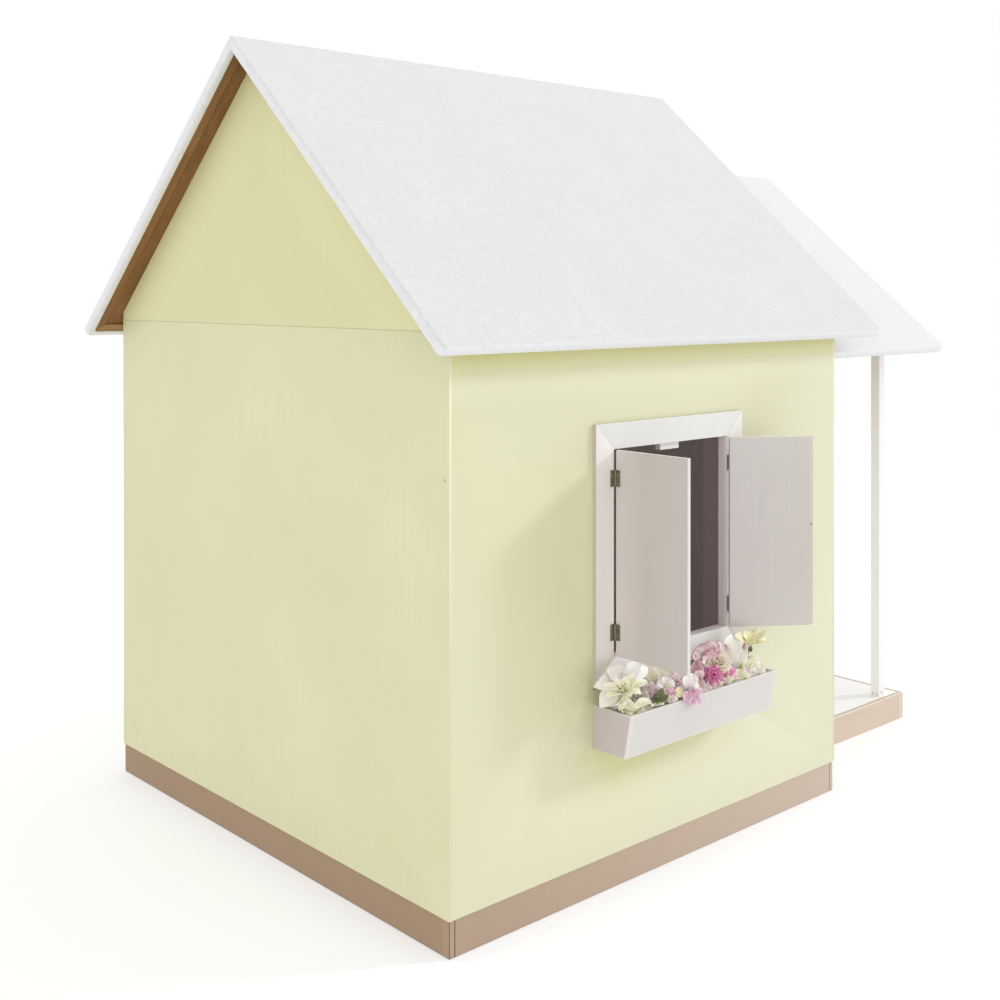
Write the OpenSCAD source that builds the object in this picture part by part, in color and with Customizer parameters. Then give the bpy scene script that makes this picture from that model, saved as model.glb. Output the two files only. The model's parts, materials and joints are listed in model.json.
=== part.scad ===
// A child's timber playhouse: flat painted panels on skirting boards, a felt-covered gable roof,
// a gabled porch with a deck and two posts, a hinged door, and a side window with two hinged
// shutters over a flower box. Millimetres, +Z up. The front faces -Y and the window faces -X.
// The origin is on the ground at the centre of the house's footprint.

/* [House] */
// Width of the front and back walls
house_w = 1450; // [1300:10:1600]
// Length from the front wall to the back wall
house_l = 1400; // [1300:10:1600]
// Height of the skirting boards under the walls
base_h = 80; // [75:1:100]
// Thickness of the skirting and deck boards
board_t = 15; // [12:1:18]
// Distance that the skirting stands back from the walls
base_setback = 3; // [1:0.5:6]
// Height of the square-cornered wall panels
wall_h = 1220; // [1200:5:1235]
// Thickness of the wall panels
wall_t = 18; // [15:1:21]
// Thickness of the lip that covers each side wall's end
lip_t = 7; // [5:1:9]
// Thickness of the floor panel
floor_t = 12; // [9:1:15]
// Side of the square battens inside the corners and under the roof
batten = 30; // [25:1:35]
// Width of the floor and deck joists
joist_w = 40; // [30:1:50]
// Depth of the two ridge beams
ridge_beam_h = 60; // [50:5:80]

/* [Roof layers] */
// Thickness of the felt covering
cover_t = 3; // [2:0.5:4]
// Width of the felt that is folded under each edge
fold_w = 18; // [12:1:24]
// Thickness of the roof panels
roof_panel_t = 15; // [12:1:18]
// Thickness of the strips under the roof panels' edges
strip_t = 6; // [4:1:10]
// Width of the strips under the roof panels' edges
strip_w = 40; // [30:1:45]

/* [Main roof] */
// Height of the ridge line
main_ridge_z = 2008; // [1995:1:2020]
// Slope in degrees
main_pitch = 42.3; // [41.5:0.1:43]
// Length of each slope, from the ridge to the eave
main_slope = 1090; // [1070:5:1110]
// Overhang past the back wall
back_overhang = 82; // [70:1:95]
// Overhang past the front wall
front_overhang = 118; // [100:1:130]

/* [Porch] */
// Height of the porch ridge line
porch_ridge_z = 1780; // [1770:1:1790]
// Slope of the porch roof in degrees
porch_pitch = 40.3; // [39.5:0.1:41]
// Length of each porch slope
porch_slope = 882; // [870:2:894]
// Reach of the porch roof past the front wall
porch_reach = 690; // [670:5:700]
// Width of the deck
deck_w = 1045; // [1020:5:1070]
// Length of the deck
deck_l = 700; // [690:5:720]
// Height of the deck
deck_h = 83; // [81:1:100]
// Side of the square posts
post_w = 30; // [25:1:40]
// Distance between the two post centres
post_span = 970; // [900:10:980]
// Distance from the front wall to the post centres
post_reach = 610; // [580:5:620]
// Height of the underside of the porch header and side plates
header_z = 1275; // [1240:5:1290]
// Depth of the porch header
header_h = 60; // [50:5:70]
// Thickness of the porch gable panel
porch_gable_t = 12; // [9:1:15]

/* [Window] */
// Width of the window opening
window_w = 420; // [400:10:440]
// Height of the window opening
window_h = 480; // [460:10:500]
// Height of the bottom of the window opening
window_z = 540; // [530:5:560]
// Width of the boards around the window and the door
trim_w = 60; // [50:1:62]
// Thickness of the boards around the window and the door
trim_t = 10; // [8:1:12]

/* [Shutters] */
// Width of one shutter
shutter_w = 208; // [205:0.5:208]
// Thickness of the shutters
shutter_t = 10; // [8:1:10]
// Gap above and below each shutter
shutter_gap = 2; // [1:0.5:4]
// Angle at which the left shutter stands open
left_open = 89; // [0:1:170]
// Angle at which the right shutter stands open
right_open = 144; // [0:1:170]
// Width of the strip that covers the join of the shutters
overlap_w = 22; // [18:1:30]
// Thickness of the strip that covers the join of the shutters
overlap_t = 5; // [3:1:6]

/* [Door] */
// Width of the doorway
door_w = 560; // [520:10:600]
// Height of the doorway above the threshold
door_h = 1060; // [1000:10:1080]
// Thickness of the door
door_t = 15; // [12:1:16]
// Height of the threshold
threshold_h = 15; // [12:1:20]
// Gap around the door
door_gap = 2; // [1:0.5:4]
// Distance from the door's free edge to its pulls
pull_inset = 40; // [30:1:60]

/* [Hinges] */
// Height of one hinge
hinge_h = 38; // [30:1:50]
// Width of one hinge leaf, from the pin's axis
hinge_leaf_w = 13; // [12:1:16]
// Thickness of the hinge leaves
hinge_leaf_t = 1.5; // [1.2:0.1:1.8]
// Outside radius of the knuckles
knuckle_r = 2.8; // [2.5:0.1:2.8]
// Radius of the hinge pins
pin_r = 1.5; // [1.3:0.1:1.6]
// Radial clearance of the pins in the moving knuckles
pin_clearance = 0.05; // [0.02:0.01:0.1]

/* [Flower box] */
// Length of the flower box
box_l = 540; // [500:10:560]
// Height of the bottom of the flower box
box_z = 340; // [320:5:350]
// Height of the flower box
box_h = 100; // [90:5:110]
// Depth of the flower box at its rim
box_rim_d = 116; // [105:1:125]
// Depth of the flower box at its bottom
box_bottom_d = 97; // [85:1:104]
// Thickness of the flower box's boards
box_t = 9; // [6:1:12]

/* [Hidden] */

$fn = 48;
sides = [-1, 1];
// Longer than any line across the model
far = 4000;
// Cutting shapes run this far past the faces they open
past = 1;
// Left between the two halves of a roof, and where a hidden piece comes up under a roof panel
fit_gap = 0.5;

wall_x = house_w / 2;
wall_y = house_l / 2;
inner_x = wall_x - wall_t;
inner_y = wall_y - wall_t;
seam_z = base_h + wall_h;
base_x = wall_x - base_setback;
base_y = wall_y - base_setback;

// A roof is its ridge height, pitch, slope length, back end and front end
main_roof = [main_ridge_z, main_pitch, main_slope, wall_y + back_overhang, -wall_y - front_overhang];
porch_roof = [porch_ridge_z, porch_pitch, porch_slope, -wall_y, -wall_y - porch_reach];
under_panel = cover_t + roof_panel_t;
under_strip = under_panel + strip_t;
roof_t = under_strip + cover_t;

floor_z = base_h - floor_t;
joist_count = 5;
joist_step = 280;
deck_joist_count = 3;
deck_joist_step = 305;
deck_y = -wall_y - deck_l;
post_x = post_span / 2;
post_y = -wall_y - post_reach;
plate_z = seam_z - batten;
seam_batten_t = 20;
cleat_end_x = 640;
porch_cleat_end_x = 440;
header_front_y = post_y - post_w / 2;

// Hinge axes stand this far out of the faces that carry the leaves
axis_out = 3;
// Distance from a hinge axis to the hung leaf's edge
axis_gap = 0.5;
trim_x = -wall_x - trim_t;
trim_y = -wall_y - trim_t;
left_axis = [trim_x - axis_out, window_w / 2 - axis_gap, 0];
right_axis = [trim_x - axis_out, -window_w / 2 + axis_gap, 0];
door_axis = [-door_w / 2 + axis_gap, trim_y - axis_out, 0];
shutter_hinge_z = [598, 953];
door_hinge_z = [220, 625, 1030];
door_z = base_h + threshold_h;
door_top_z = door_z + door_h;
door_leaf_w = door_w - 2 * axis_gap - door_gap;
door_open = 0;

knuckle_gap = 0.3;
middle_knuckle_h = hinge_h / 3;
// Hinge leaves start this far from the axis where the other leaf's knuckles turn
leaf_clear = 3.4;
hinge_screw_x = 8.2;
hinge_screw_z = 12;
screw_head_r = 2.6;
screw_head_h = 0.7;
screw_r = 1.2;
screw_l = 6;
wall_screw_r = 1.8;
wall_screw_head_r = 3.6;
wall_screw_l = 38;
wall_screw_in = 14;
wall_screw_z = [150, 430, 710, 993, 1225];
nail_z = deck_h + 7;
nail_r = 1.6;
nail_l = 12;
nail_out = 1.2;
box_screw_y = 150;
box_screw_z = 410;
box_screw_l = 20;
pull_z = 600;
pull_profile = [[0, 0], [9, 0], [9, 2], [5, 5], [5, 12], [12, 16], [14, 21], [12, 26], [6, 29], [0, 29]];
shutter_pull_z = 795;
shutter_pull_profile = [[0, 0], [3.5, 0], [3.5, 4], [6, 7], [6, 10], [4, 12], [0, 12]];
shutter_pull_r = 2;
// The back of the strip's free half is cut away by this much, to clear the other shutter
overlap_relief = 0.4;
catch_w = 68;
catch_h = 17;
catch_d = 17;
catch_gap = 0.7;

foam_top_z = 395;
foam_gap = 1;
// The flowers are three mounds along the box, lower than the shutters' path
flower_mound_l = 168;
flower_mound_step = 171;
flower_outline = [
    [735, 397], [817, 397], [830, 450], [852, 466], [848, 512], [805, 534], [748, 528], [736, 480],
];

wall_yellow = [0.86, 0.86, 0.71];
white_paint = [0.92, 0.91, 0.89];
taupe_paint = [0.68, 0.6, 0.53];
bare_wood = [0.5, 0.38, 0.24];
pale_wood = [0.78, 0.66, 0.48];
white_felt = [0.94, 0.94, 0.94];
old_brass = [0.42, 0.39, 0.31];
dark_steel = [0.3, 0.28, 0.26];
shutter_paint = [0.8, 0.77, 0.74];

function ridge_of(roof) = roof[0];
function pitch_of(roof) = roof[1];
function slope_of(roof) = roof[2];
function back_of(roof) = roof[3];
function front_of(roof) = roof[4];

// Height of the plane at one depth under a roof's top face, at one distance from the ridge
function roof_z(roof, depth, x) =
    ridge_of(roof) - depth / cos(pitch_of(roof)) - abs(x) * tan(pitch_of(roof));

// Panels lying in planes across X or Y, drawn as outlines with heights as their second coordinate
module plate_across_x(x, t) {
    translate([x, 0, 0]) rotate([90, 0, 90]) linear_extrude(t) children();
}

module plate_across_y(y, t) {
    translate([0, y, 0]) rotate([90, 0, 0]) linear_extrude(t) children();
}

module on_both_sides() {
    children();
    mirror([1, 0, 0]) children();
}

// The outline under a roof between two distances from the ridge, down to z
module under_roof(roof, x0, x1, z) {
    depth = under_panel + fit_gap;
    polygon([[x0, z], [x1, z], [x1, roof_z(roof, depth, x1)], [x0, roof_z(roof, depth, x0)]]);
}

// The outline of a gable under a roof, from one side to the other, down to z
module gable_outline(roof, half_w, z) {
    depth = under_panel + fit_gap;
    top_z = roof_z(roof, depth, 0);
    edge_z = roof_z(roof, depth, half_w);
    polygon([[-half_w, z], [half_w, z], [half_w, edge_z], [0, top_z], [-half_w, edge_z]]);
}

// A front or back wall's outline made into a panel whose ends are cut back to a thin lip
module lipped_panel(lip_y, inside) {
    plate_across_y(lip_y + lip_t / 2, lip_t) children();
    plate_across_y(inside > 0 ? wall_y : -inner_y, wall_t) intersection() {
        children();
        translate([-inner_x, 0]) square([2 * inner_x, far]);
    }
}

module back_panel() {
    lipped_panel(wall_y - lip_t / 2, 1) children();
}

module front_panel() {
    lipped_panel(-wall_y + lip_t / 2, -1) children();
}

// What lies past a plane near the ridge, on the +X side
module past_ridge(x) {
    intersection() {
        children();
        translate([x, -far, 0]) cube([far, 2 * far, far]);
    }
}

// Children drawn with X down the slope and Z square to it
module on_slope(roof) {
    translate([0, 0, ridge_of(roof)]) rotate([0, pitch_of(roof), 0]) children();
}

// A layer of one slope between two depths, its edges set in from the roof's own
module layer(roof, inset, top, bottom) {
    length = back_of(roof) - front_of(roof) - 2 * inset;
    on_slope(roof)
        translate([0, front_of(roof) + inset, -bottom])
            cube([slope_of(roof) - inset, length, bottom - top]);
}

module roof_panels(roof) {
    on_both_sides() past_ridge(fit_gap) layer(roof, cover_t, cover_t, under_panel);
}

// Felt over each slope, wrapped down its edges and folded under them
module roof_covers(roof) {
    on_both_sides() past_ridge(fit_gap) difference() {
        layer(roof, 0, 0, roof_t);
        layer(roof, cover_t, cover_t, under_strip);
        layer(roof, fold_w, under_strip - past, roof_t + past);
    }
}

module strips_on_slope(roof) {
    on_both_sides()
        past_ridge(fit_gap)
            on_slope(roof) translate([0, 0, -under_strip]) linear_extrude(strip_t) children();
}

// Strips under the two ends of each slope, mitred to the eave strip
module rake_strips(roof) {
    outer = slope_of(roof) - cover_t;
    inner = outer - strip_w;
    back_y = back_of(roof) - cover_t;
    front_y = front_of(roof) + cover_t;
    strips_on_slope(roof) {
        polygon([[0, back_y], [outer, back_y], [inner, back_y - strip_w], [0, back_y - strip_w]]);
        polygon([[0, front_y], [outer, front_y], [inner, front_y + strip_w], [0, front_y + strip_w]]);
    }
}

module eave_strips(roof) {
    outer = slope_of(roof) - cover_t;
    inner = outer - strip_w;
    back_y = back_of(roof) - cover_t;
    front_y = front_of(roof) + cover_t;
    strips_on_slope(roof)
        polygon([[outer, back_y], [outer, front_y], [inner, front_y + strip_w], [inner, back_y - strip_w]]);
}

// A beam under the ridge between two Y planes
module ridge_beam(roof, back_y, front_y) {
    plate_across_y(back_y, back_y - front_y) intersection() {
        gable_outline(roof, batten / 2, 0);
        translate([-batten, roof_z(roof, under_panel, 0) - ridge_beam_h]) square([2 * batten, far]);
    }
}

// Children notched where the strip and the folded felt come down at a roof's back end
module clear_of_back_strip(roof) {
    difference() {
        children();
        intersection() {
            on_both_sides() layer(roof, 0, under_panel, roof_t + fit_gap);
            translate([-far, back_of(roof) - cover_t - strip_w - fit_gap, 0]) cube([2 * far, far, far]);
        }
    }
}

// Battens that fix the roof panels along a gable, between two distances from the ridge
module cleats(roof, y, end_x) {
    on_both_sides()
        past_ridge(batten / 2 + past)
            intersection() {
                on_slope(roof)
                    translate([0, y, -under_panel - fit_gap - batten]) cube([far, batten, batten]);
                translate([0, -far, 0]) cube([end_x, 2 * far, far]);
            }
}

// Holes and solids of the screws share these places
module wall_screw_places() {
    for (side = sides, z = wall_screw_z) {
        translate([side * (wall_x - wall_screw_in), wall_y, z]) rotate([90, 0, 0]) children();
        translate([side * (wall_x - wall_screw_in), -wall_y, z]) rotate([-90, 0, 0]) children();
    }
}

module wall_screw() {
    cylinder(r = wall_screw_r, h = wall_screw_l);
    cylinder(r1 = wall_screw_head_r, r2 = wall_screw_r, h = wall_screw_head_r - wall_screw_r);
}

module post_nail_places() {
    for (side = sides) {
        for (dx = [-7, 7]) {
            translate([side * post_x + dx, post_y + post_w / 2, nail_z]) rotate([90, 0, 0]) children();
        }
        translate([side * (post_x + post_w / 2), post_y, nail_z + 5]) rotate([0, -90 * side, 0]) children();
    }
}

module post_nail() {
    translate([0, 0, -nail_out]) cylinder(r = nail_r, h = nail_l + nail_out);
}

module box_screw_places() {
    for (side = sides) {
        translate([-wall_x - box_t, side * box_screw_y, box_screw_z]) rotate([0, 90, 0]) children();
    }
}

module box_screw() {
    cylinder(r = wall_screw_r, h = box_screw_l);
    cylinder(r1 = wall_screw_head_r, r2 = wall_screw_r, h = wall_screw_head_r - wall_screw_r);
}

// Base and floor

module base_end_boards() {
    color(taupe_paint) for (y = [base_y - board_t, -base_y]) {
        translate([-base_x, y, 0]) cube([2 * base_x, board_t, base_h]);
    }
}

module base_side_boards() {
    color(taupe_paint) on_both_sides() {
        translate([base_x - board_t, -base_y + board_t, 0])
            cube([board_t, 2 * (base_y - board_t), base_h]);
    }
}

module floor_joists() {
    length = 2 * (base_x - board_t);
    color(pale_wood) for (i = [0 : joist_count - 1]) {
        translate([-length / 2, (i - (joist_count - 1) / 2) * joist_step - joist_w / 2, 0])
            cube([length, joist_w, floor_z]);
    }
}

module floor_panel() {
    size = [2 * (base_x - board_t), 2 * (base_y - board_t), floor_t];
    color(pale_wood) translate([-size[0] / 2, -size[1] / 2, floor_z]) cube(size);
}

// Walls

module back_wall_panel() {
    color(wall_yellow) difference() {
        back_panel() translate([-wall_x, base_h]) square([house_w, wall_h]);
        wall_screw_places() wall_screw();
    }
}

module back_gable_panel() {
    color(wall_yellow) back_panel() gable_outline(main_roof, wall_x, seam_z);
}

module front_wall_panel() {
    color(wall_yellow) difference() {
        front_panel() difference() {
            translate([-wall_x, base_h]) square([house_w, wall_h]);
            translate([-door_w / 2, 0]) square([door_w, door_top_z]);
        }
        wall_screw_places() wall_screw();
    }
}

module front_gable_panel() {
    color(wall_yellow) front_panel() gable_outline(main_roof, wall_x, seam_z);
}

// A side wall's top edge is cut to the slope of the roof
module side_wall() {
    length = house_l - 2 * lip_t;
    plate_across_y(length / 2, length) under_roof(main_roof, inner_x, wall_x, base_h);
}

module window_wall_panel() {
    color(wall_yellow) difference() {
        mirror([1, 0, 0]) side_wall();
        translate([-wall_x - past, -window_w / 2, window_z]) cube([wall_t + 2 * past, window_w, window_h]);
        box_screw_places() box_screw();
        wall_screw_places() wall_screw();
    }
}

module plain_wall_panel() {
    color(wall_yellow) difference() {
        side_wall();
        wall_screw_places() wall_screw();
    }
}

// Framing inside

module corner_battens() {
    color(pale_wood) for (x = [-inner_x, inner_x - batten], y = [-inner_y, inner_y - batten]) {
        translate([x, y, base_h]) cube([batten, batten, plate_z - base_h]);
    }
}

module wall_plates() {
    color(pale_wood)
        on_both_sides()
            plate_across_y(inner_y, 2 * inner_y)
                under_roof(main_roof, inner_x - batten, inner_x, plate_z);
}

module gable_seam_battens() {
    length = 2 * (inner_x - 2 * batten);
    color(pale_wood) for (y = [inner_y - seam_batten_t, -inner_y]) {
        translate([-length / 2, y, plate_z]) cube([length, seam_batten_t, 2 * batten]);
    }
}

module ridge_beams() {
    color(pale_wood) {
        ridge_beam(main_roof, inner_y, -inner_y);
        clear_of_back_strip(porch_roof) ridge_beam(porch_roof, -wall_y, header_front_y);
    }
}

module roof_cleats() {
    color(pale_wood) {
        cleats(main_roof, inner_y - batten, cleat_end_x);
        cleats(main_roof, -inner_y, cleat_end_x);
        cleats(porch_roof, header_front_y, porch_cleat_end_x);
    }
}

// Main roof

module main_roof_panels() {
    color(bare_wood) roof_panels(main_roof);
}

module main_rake_strips() {
    color(bare_wood) rake_strips(main_roof);
}

module main_eave_strips() {
    color(bare_wood) eave_strips(main_roof);
}

module main_roof_covers() {
    color(white_felt) roof_covers(main_roof);
}

// Porch

module deck_front_board() {
    color(taupe_paint) translate([-deck_w / 2, deck_y, 0]) cube([deck_w, board_t, deck_h]);
}

module deck_side_boards() {
    color(taupe_paint)
        on_both_sides()
            translate([deck_w / 2 - board_t, deck_y + board_t, 0])
                cube([board_t, deck_l - board_t, deck_h]);
}

module deck_joists() {
    length = deck_w - 2 * board_t;
    color(pale_wood) for (i = [0 : deck_joist_count - 1]) {
        translate([-length / 2, deck_y + board_t + i * deck_joist_step, 0])
            cube([length, joist_w, deck_h - board_t]);
    }
}

module deck_top() {
    size = [deck_w - 2 * board_t, deck_l - board_t, board_t];
    color(white_paint) translate([-size[0] / 2, deck_y + board_t, deck_h - board_t]) cube(size);
}

module porch_posts() {
    color(white_paint) difference() {
        for (side = sides) {
            translate([side * post_x - post_w / 2, post_y - post_w / 2, deck_h])
                cube([post_w, post_w, header_z - deck_h]);
        }
        post_nail_places() post_nail();
    }
}

module porch_side_plates() {
    length = -wall_y - header_front_y;
    color(white_paint) clear_of_back_strip(porch_roof)
        on_both_sides()
            plate_across_y(-wall_y, length)
                under_roof(porch_roof, post_x - post_w / 2, post_x + post_w / 2, header_z);
}

module porch_header() {
    length = post_span - post_w;
    color(white_paint)
        translate([-length / 2, header_front_y, header_z]) cube([length, post_w, header_h]);
}

module porch_gable_panel() {
    depth = under_panel + fit_gap;
    top_z = roof_z(porch_roof, depth, 0);
    half_w = (top_z - header_z) / tan(porch_pitch);
    color(wall_yellow)
        plate_across_y(header_front_y, porch_gable_t)
            polygon([[-half_w, header_z], [half_w, header_z], [0, top_z]]);
}

module porch_roof_panels() {
    color(bare_wood) roof_panels(porch_roof);
}

module porch_rake_strips() {
    color(bare_wood) rake_strips(porch_roof);
}

module porch_eave_strips() {
    color(bare_wood) eave_strips(porch_roof);
}

module porch_roof_covers() {
    color(white_felt) roof_covers(porch_roof);
}

// Hinges: drawn about their axis along Z, with the fixed leaf towards +X, the hung leaf towards -X
// when closed, and the wood's face at y = -axis_out

module hinge_plate(direction, start, height) {
    width = hinge_leaf_w - start;
    translate([direction > 0 ? start : -hinge_leaf_w, -axis_out, -height / 2])
        cube([width, hinge_leaf_t, height]);
}

module knuckle(z0, z1, bore_r) {
    translate([0, 0, z0]) difference() {
        cylinder(r = knuckle_r, h = z1 - z0);
        translate([0, 0, -past]) cylinder(r = bore_r, h = z1 - z0 + 2 * past);
    }
}

// The tongue of a leaf that curls into its knuckle
module tongue(direction, z0, z1) {
    translate([direction > 0 ? 0 : -leaf_clear - past, -axis_out, z0]) difference() {
        cube([leaf_clear + past, hinge_leaf_t, z1 - z0]);
        translate([direction > 0 ? 0 : leaf_clear + past, axis_out, -past])
            cylinder(r = knuckle_r - 0.1, h = z1 - z0 + 2 * past);
    }
}

module hinge_screw_places(direction) {
    for (z = [-hinge_screw_z, hinge_screw_z]) {
        translate([direction * hinge_screw_x, hinge_leaf_t - axis_out, z]) rotate([90, 0, 0]) children();
    }
}

module hinge_screw() {
    cylinder(r = screw_r, h = screw_l);
    translate([0, 0, -screw_head_h])
        cylinder(r1 = screw_head_r - screw_head_h, r2 = screw_head_r, h = screw_head_h);
}

module fixed_leaf() {
    end_h = (hinge_h - middle_knuckle_h) / 2;
    difference() {
        union() {
            hinge_plate(1, leaf_clear, hinge_h);
            for (z0 = [-hinge_h / 2, hinge_h / 2 - end_h]) {
                knuckle(z0, z0 + end_h, pin_r);
                tongue(1, z0, z0 + end_h);
            }
        }
        hinge_screw_places(1) hinge_screw();
    }
}

module hung_leaf() {
    half_h = middle_knuckle_h / 2 - knuckle_gap;
    difference() {
        union() {
            hinge_plate(-1, leaf_clear, hinge_h);
            knuckle(-half_h, half_h, pin_r + pin_clearance);
            tongue(-1, -half_h, half_h);
        }
        hinge_screw_places(-1) hinge_screw();
    }
}

module hinge_pin() {
    translate([0, 0, -hinge_h / 2]) cylinder(r = pin_r, h = hinge_h);
}

// The places of the three hinge lines. Children are drawn in the hinge's own axes.

module at_left_hinge() {
    translate(left_axis) rotate([0, 0, 90]) children();
}

module at_right_hinge() {
    translate(right_axis) rotate([0, 0, 90]) mirror([1, 0, 0]) children();
}

module at_door_hinge() {
    translate(door_axis) rotate([0, 0, 180]) children();
}

module at_each_z(heights) {
    for (z = heights) {
        translate([0, 0, z]) children();
    }
}

module at_frame_hinges() {
    at_left_hinge() at_each_z(shutter_hinge_z) children();
    at_right_hinge() at_each_z(shutter_hinge_z) children();
    at_door_hinge() at_each_z(door_hinge_z) children();
}

module left_shutter_pose() {
    at_left_hinge() rotate([0, 0, -left_open]) children();
}

module right_shutter_pose() {
    at_right_hinge() rotate([0, 0, -right_open]) children();
}

module door_pose() {
    at_door_hinge() rotate([0, 0, -door_open]) children();
}

module hinge_frame_leaves() {
    color(old_brass) at_frame_hinges() fixed_leaf();
}

module hinge_pins() {
    color(old_brass) at_frame_hinges() hinge_pin();
}

module hinge_frame_screws() {
    color(old_brass) at_frame_hinges() hinge_screw_places(1) hinge_screw();
}

// A flat leaf that hangs from the hinge line, drilled for the hinge screws
module hung_board(width, thickness, z0, height, hinge_heights) {
    difference() {
        translate([-axis_gap - width, -axis_out - thickness, z0]) cube([width, thickness, height]);
        at_each_z(hinge_heights) hinge_screw_places(-1) hinge_screw();
    }
}

module shutter_board() {
    hung_board(shutter_w, shutter_t, window_z + shutter_gap, window_h - 2 * shutter_gap, shutter_hinge_z);
}

// Shutters

module left_shutter() {
    color(shutter_paint) left_shutter_pose() shutter_board();
}

module left_shutter_hinge_leaves() {
    color(old_brass) left_shutter_pose() at_each_z(shutter_hinge_z) hung_leaf();
}

module left_shutter_screws() {
    color(old_brass) left_shutter_pose() at_each_z(shutter_hinge_z) hinge_screw_places(-1) hinge_screw();
}

module right_shutter() {
    color(shutter_paint) right_shutter_pose() shutter_board();
}

module right_shutter_strip() {
    edge_x = -axis_gap - shutter_w;
    color(shutter_paint) right_shutter_pose() difference() {
        translate([edge_x - overlap_w / 2, -axis_out, window_z + shutter_gap])
            cube([overlap_w, overlap_t, window_h - 2 * shutter_gap]);
        translate([edge_x - overlap_w, -axis_out - past, 0]) cube([overlap_w, past + overlap_relief, far]);
        shutter_pull_place() cylinder(r = shutter_pull_r, h = 2 * overlap_t);
    }
}

module shutter_pull_place() {
    translate([-axis_gap - shutter_w - overlap_w / 4, overlap_t - axis_out, shutter_pull_z])
        rotate([90, 0, 0]) children();
}

module right_shutter_pull() {
    color(dark_steel) right_shutter_pose() shutter_pull_place() {
        cylinder(r = shutter_pull_r, h = overlap_t - overlap_relief);
        rotate([180, 0, 0]) rotate_extrude() polygon(shutter_pull_profile);
    }
}

module right_shutter_hinge_leaves() {
    color(old_brass) right_shutter_pose() at_each_z(shutter_hinge_z) hung_leaf();
}

module right_shutter_screws() {
    color(old_brass) right_shutter_pose() at_each_z(shutter_hinge_z) hinge_screw_places(-1) hinge_screw();
}

// Door

module door() {
    color(white_paint) door_pose() difference() {
        hung_board(door_leaf_w, door_t, door_z + door_gap, door_h - 2 * door_gap, door_hinge_z);
        door_pull_places() translate([0, 0, -door_t / 2]) cylinder(r = shutter_pull_r, h = door_t);
    }
}

module door_pull_places() {
    x = pull_inset - door_leaf_w - axis_gap;
    translate([x, -axis_out, pull_z]) rotate([-90, 0, 0]) children();
    translate([x, -axis_out - door_t, pull_z]) rotate([90, 0, 0]) children();
}

module door_pulls() {
    color(old_brass) door_pose() door_pull_places() {
        rotate_extrude() polygon(pull_profile);
        translate([0, 0, -door_t / 2 + fit_gap]) cylinder(r = shutter_pull_r, h = door_t / 2);
    }
}

module door_hinge_leaves() {
    color(old_brass) door_pose() at_each_z(door_hinge_z) hung_leaf();
}

module door_screws() {
    color(old_brass) door_pose() at_each_z(door_hinge_z) hinge_screw_places(-1) hinge_screw();
}

// Boards around an opening of one width between two heights, mitred at their corners

module trim_head(width, z) {
    half_w = width / 2;
    outer = half_w + trim_w;
    polygon([[-half_w, z], [half_w, z], [outer, z + trim_w], [-outer, z + trim_w]]);
}

module trim_stile(width, z0, z1, foot) {
    half_w = width / 2;
    outer = half_w + trim_w;
    polygon([[half_w, z0], [half_w, z1], [outer, z1 + trim_w], [outer, z0 - foot]]);
}

module drilled_trim() {
    difference() {
        children();
        at_frame_hinges() hinge_screw_places(1) hinge_screw();
    }
}

module window_trim_head() {
    color(white_paint) plate_across_x(trim_x, trim_t) trim_head(window_w, window_z + window_h);
}

module window_trim_sill() {
    color(white_paint)
        plate_across_x(trim_x, trim_t)
            translate([0, 2 * window_z]) mirror([0, 1]) trim_head(window_w, window_z);
}

module window_trim_stiles() {
    color(white_paint) drilled_trim() for (side = [0, 1]) {
        plate_across_x(trim_x, trim_t)
            mirror([side, 0]) trim_stile(window_w, window_z, window_z + window_h, trim_w);
    }
}

module door_trim_head() {
    color(white_paint) plate_across_y(-wall_y, trim_t) trim_head(door_w, door_top_z);
}

module door_trim_jambs() {
    color(white_paint) drilled_trim() for (side = [0, 1]) {
        plate_across_y(-wall_y, trim_t)
            mirror([side, 0]) trim_stile(door_w, deck_h + fit_gap, door_top_z, 0);
    }
}

module door_threshold() {
    color(white_paint)
        translate([-door_w / 2, -wall_y, base_h]) cube([door_w, wall_t, threshold_h]);
}

module catch_blocks() {
    color(white_paint) {
        translate([-wall_x + catch_gap, -catch_w / 2, window_z + window_h - catch_h])
            cube([catch_d, catch_w, catch_h]);
        translate([-catch_w / 2, trim_y + door_t + catch_gap, door_top_z - catch_h])
            cube([catch_w, catch_d, catch_h]);
    }
}

// Flower box

// The box's cross-section: depth from the wall and height, with its front leaning out
module box_outline(inset_front, z0, z1) {
    lean = (box_rim_d - box_bottom_d) / box_h;
    front0 = wall_x + box_bottom_d + (z0 - box_z) * lean - inset_front;
    front1 = wall_x + box_bottom_d + (z1 - box_z) * lean - inset_front;
    polygon([[wall_x, z0], [front0, z0], [front1, z1], [wall_x, z1]]);
}

// An outline of depth and height swept along the box's length, on the window side
module along_box(y0, length) {
    mirror([1, 0, 0]) plate_across_y(y0 + length, length) children();
}

module flower_box_ends() {
    color(white_paint) for (y = [-box_l / 2, box_l / 2 - box_t]) {
        along_box(y, box_t) box_outline(0, box_z, box_z + box_h);
    }
}

module flower_box_front() {
    color(white_paint) along_box(-box_l / 2 + box_t, box_l - 2 * box_t) difference() {
        box_outline(0, box_z, box_z + box_h);
        box_outline(box_t, box_z - past, box_z + box_h + past);
    }
}

module flower_box_back() {
    color(white_paint) difference() {
        translate([-wall_x - box_t, -box_l / 2 + box_t, box_z + box_t])
            cube([box_t, box_l - 2 * box_t, box_h - box_t]);
        box_screw_places() box_screw();
    }
}

module flower_box_bottom() {
    color(white_paint) along_box(-box_l / 2 + box_t, box_l - 2 * box_t)
        box_outline(box_t, box_z, box_z + box_t);
}

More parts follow.
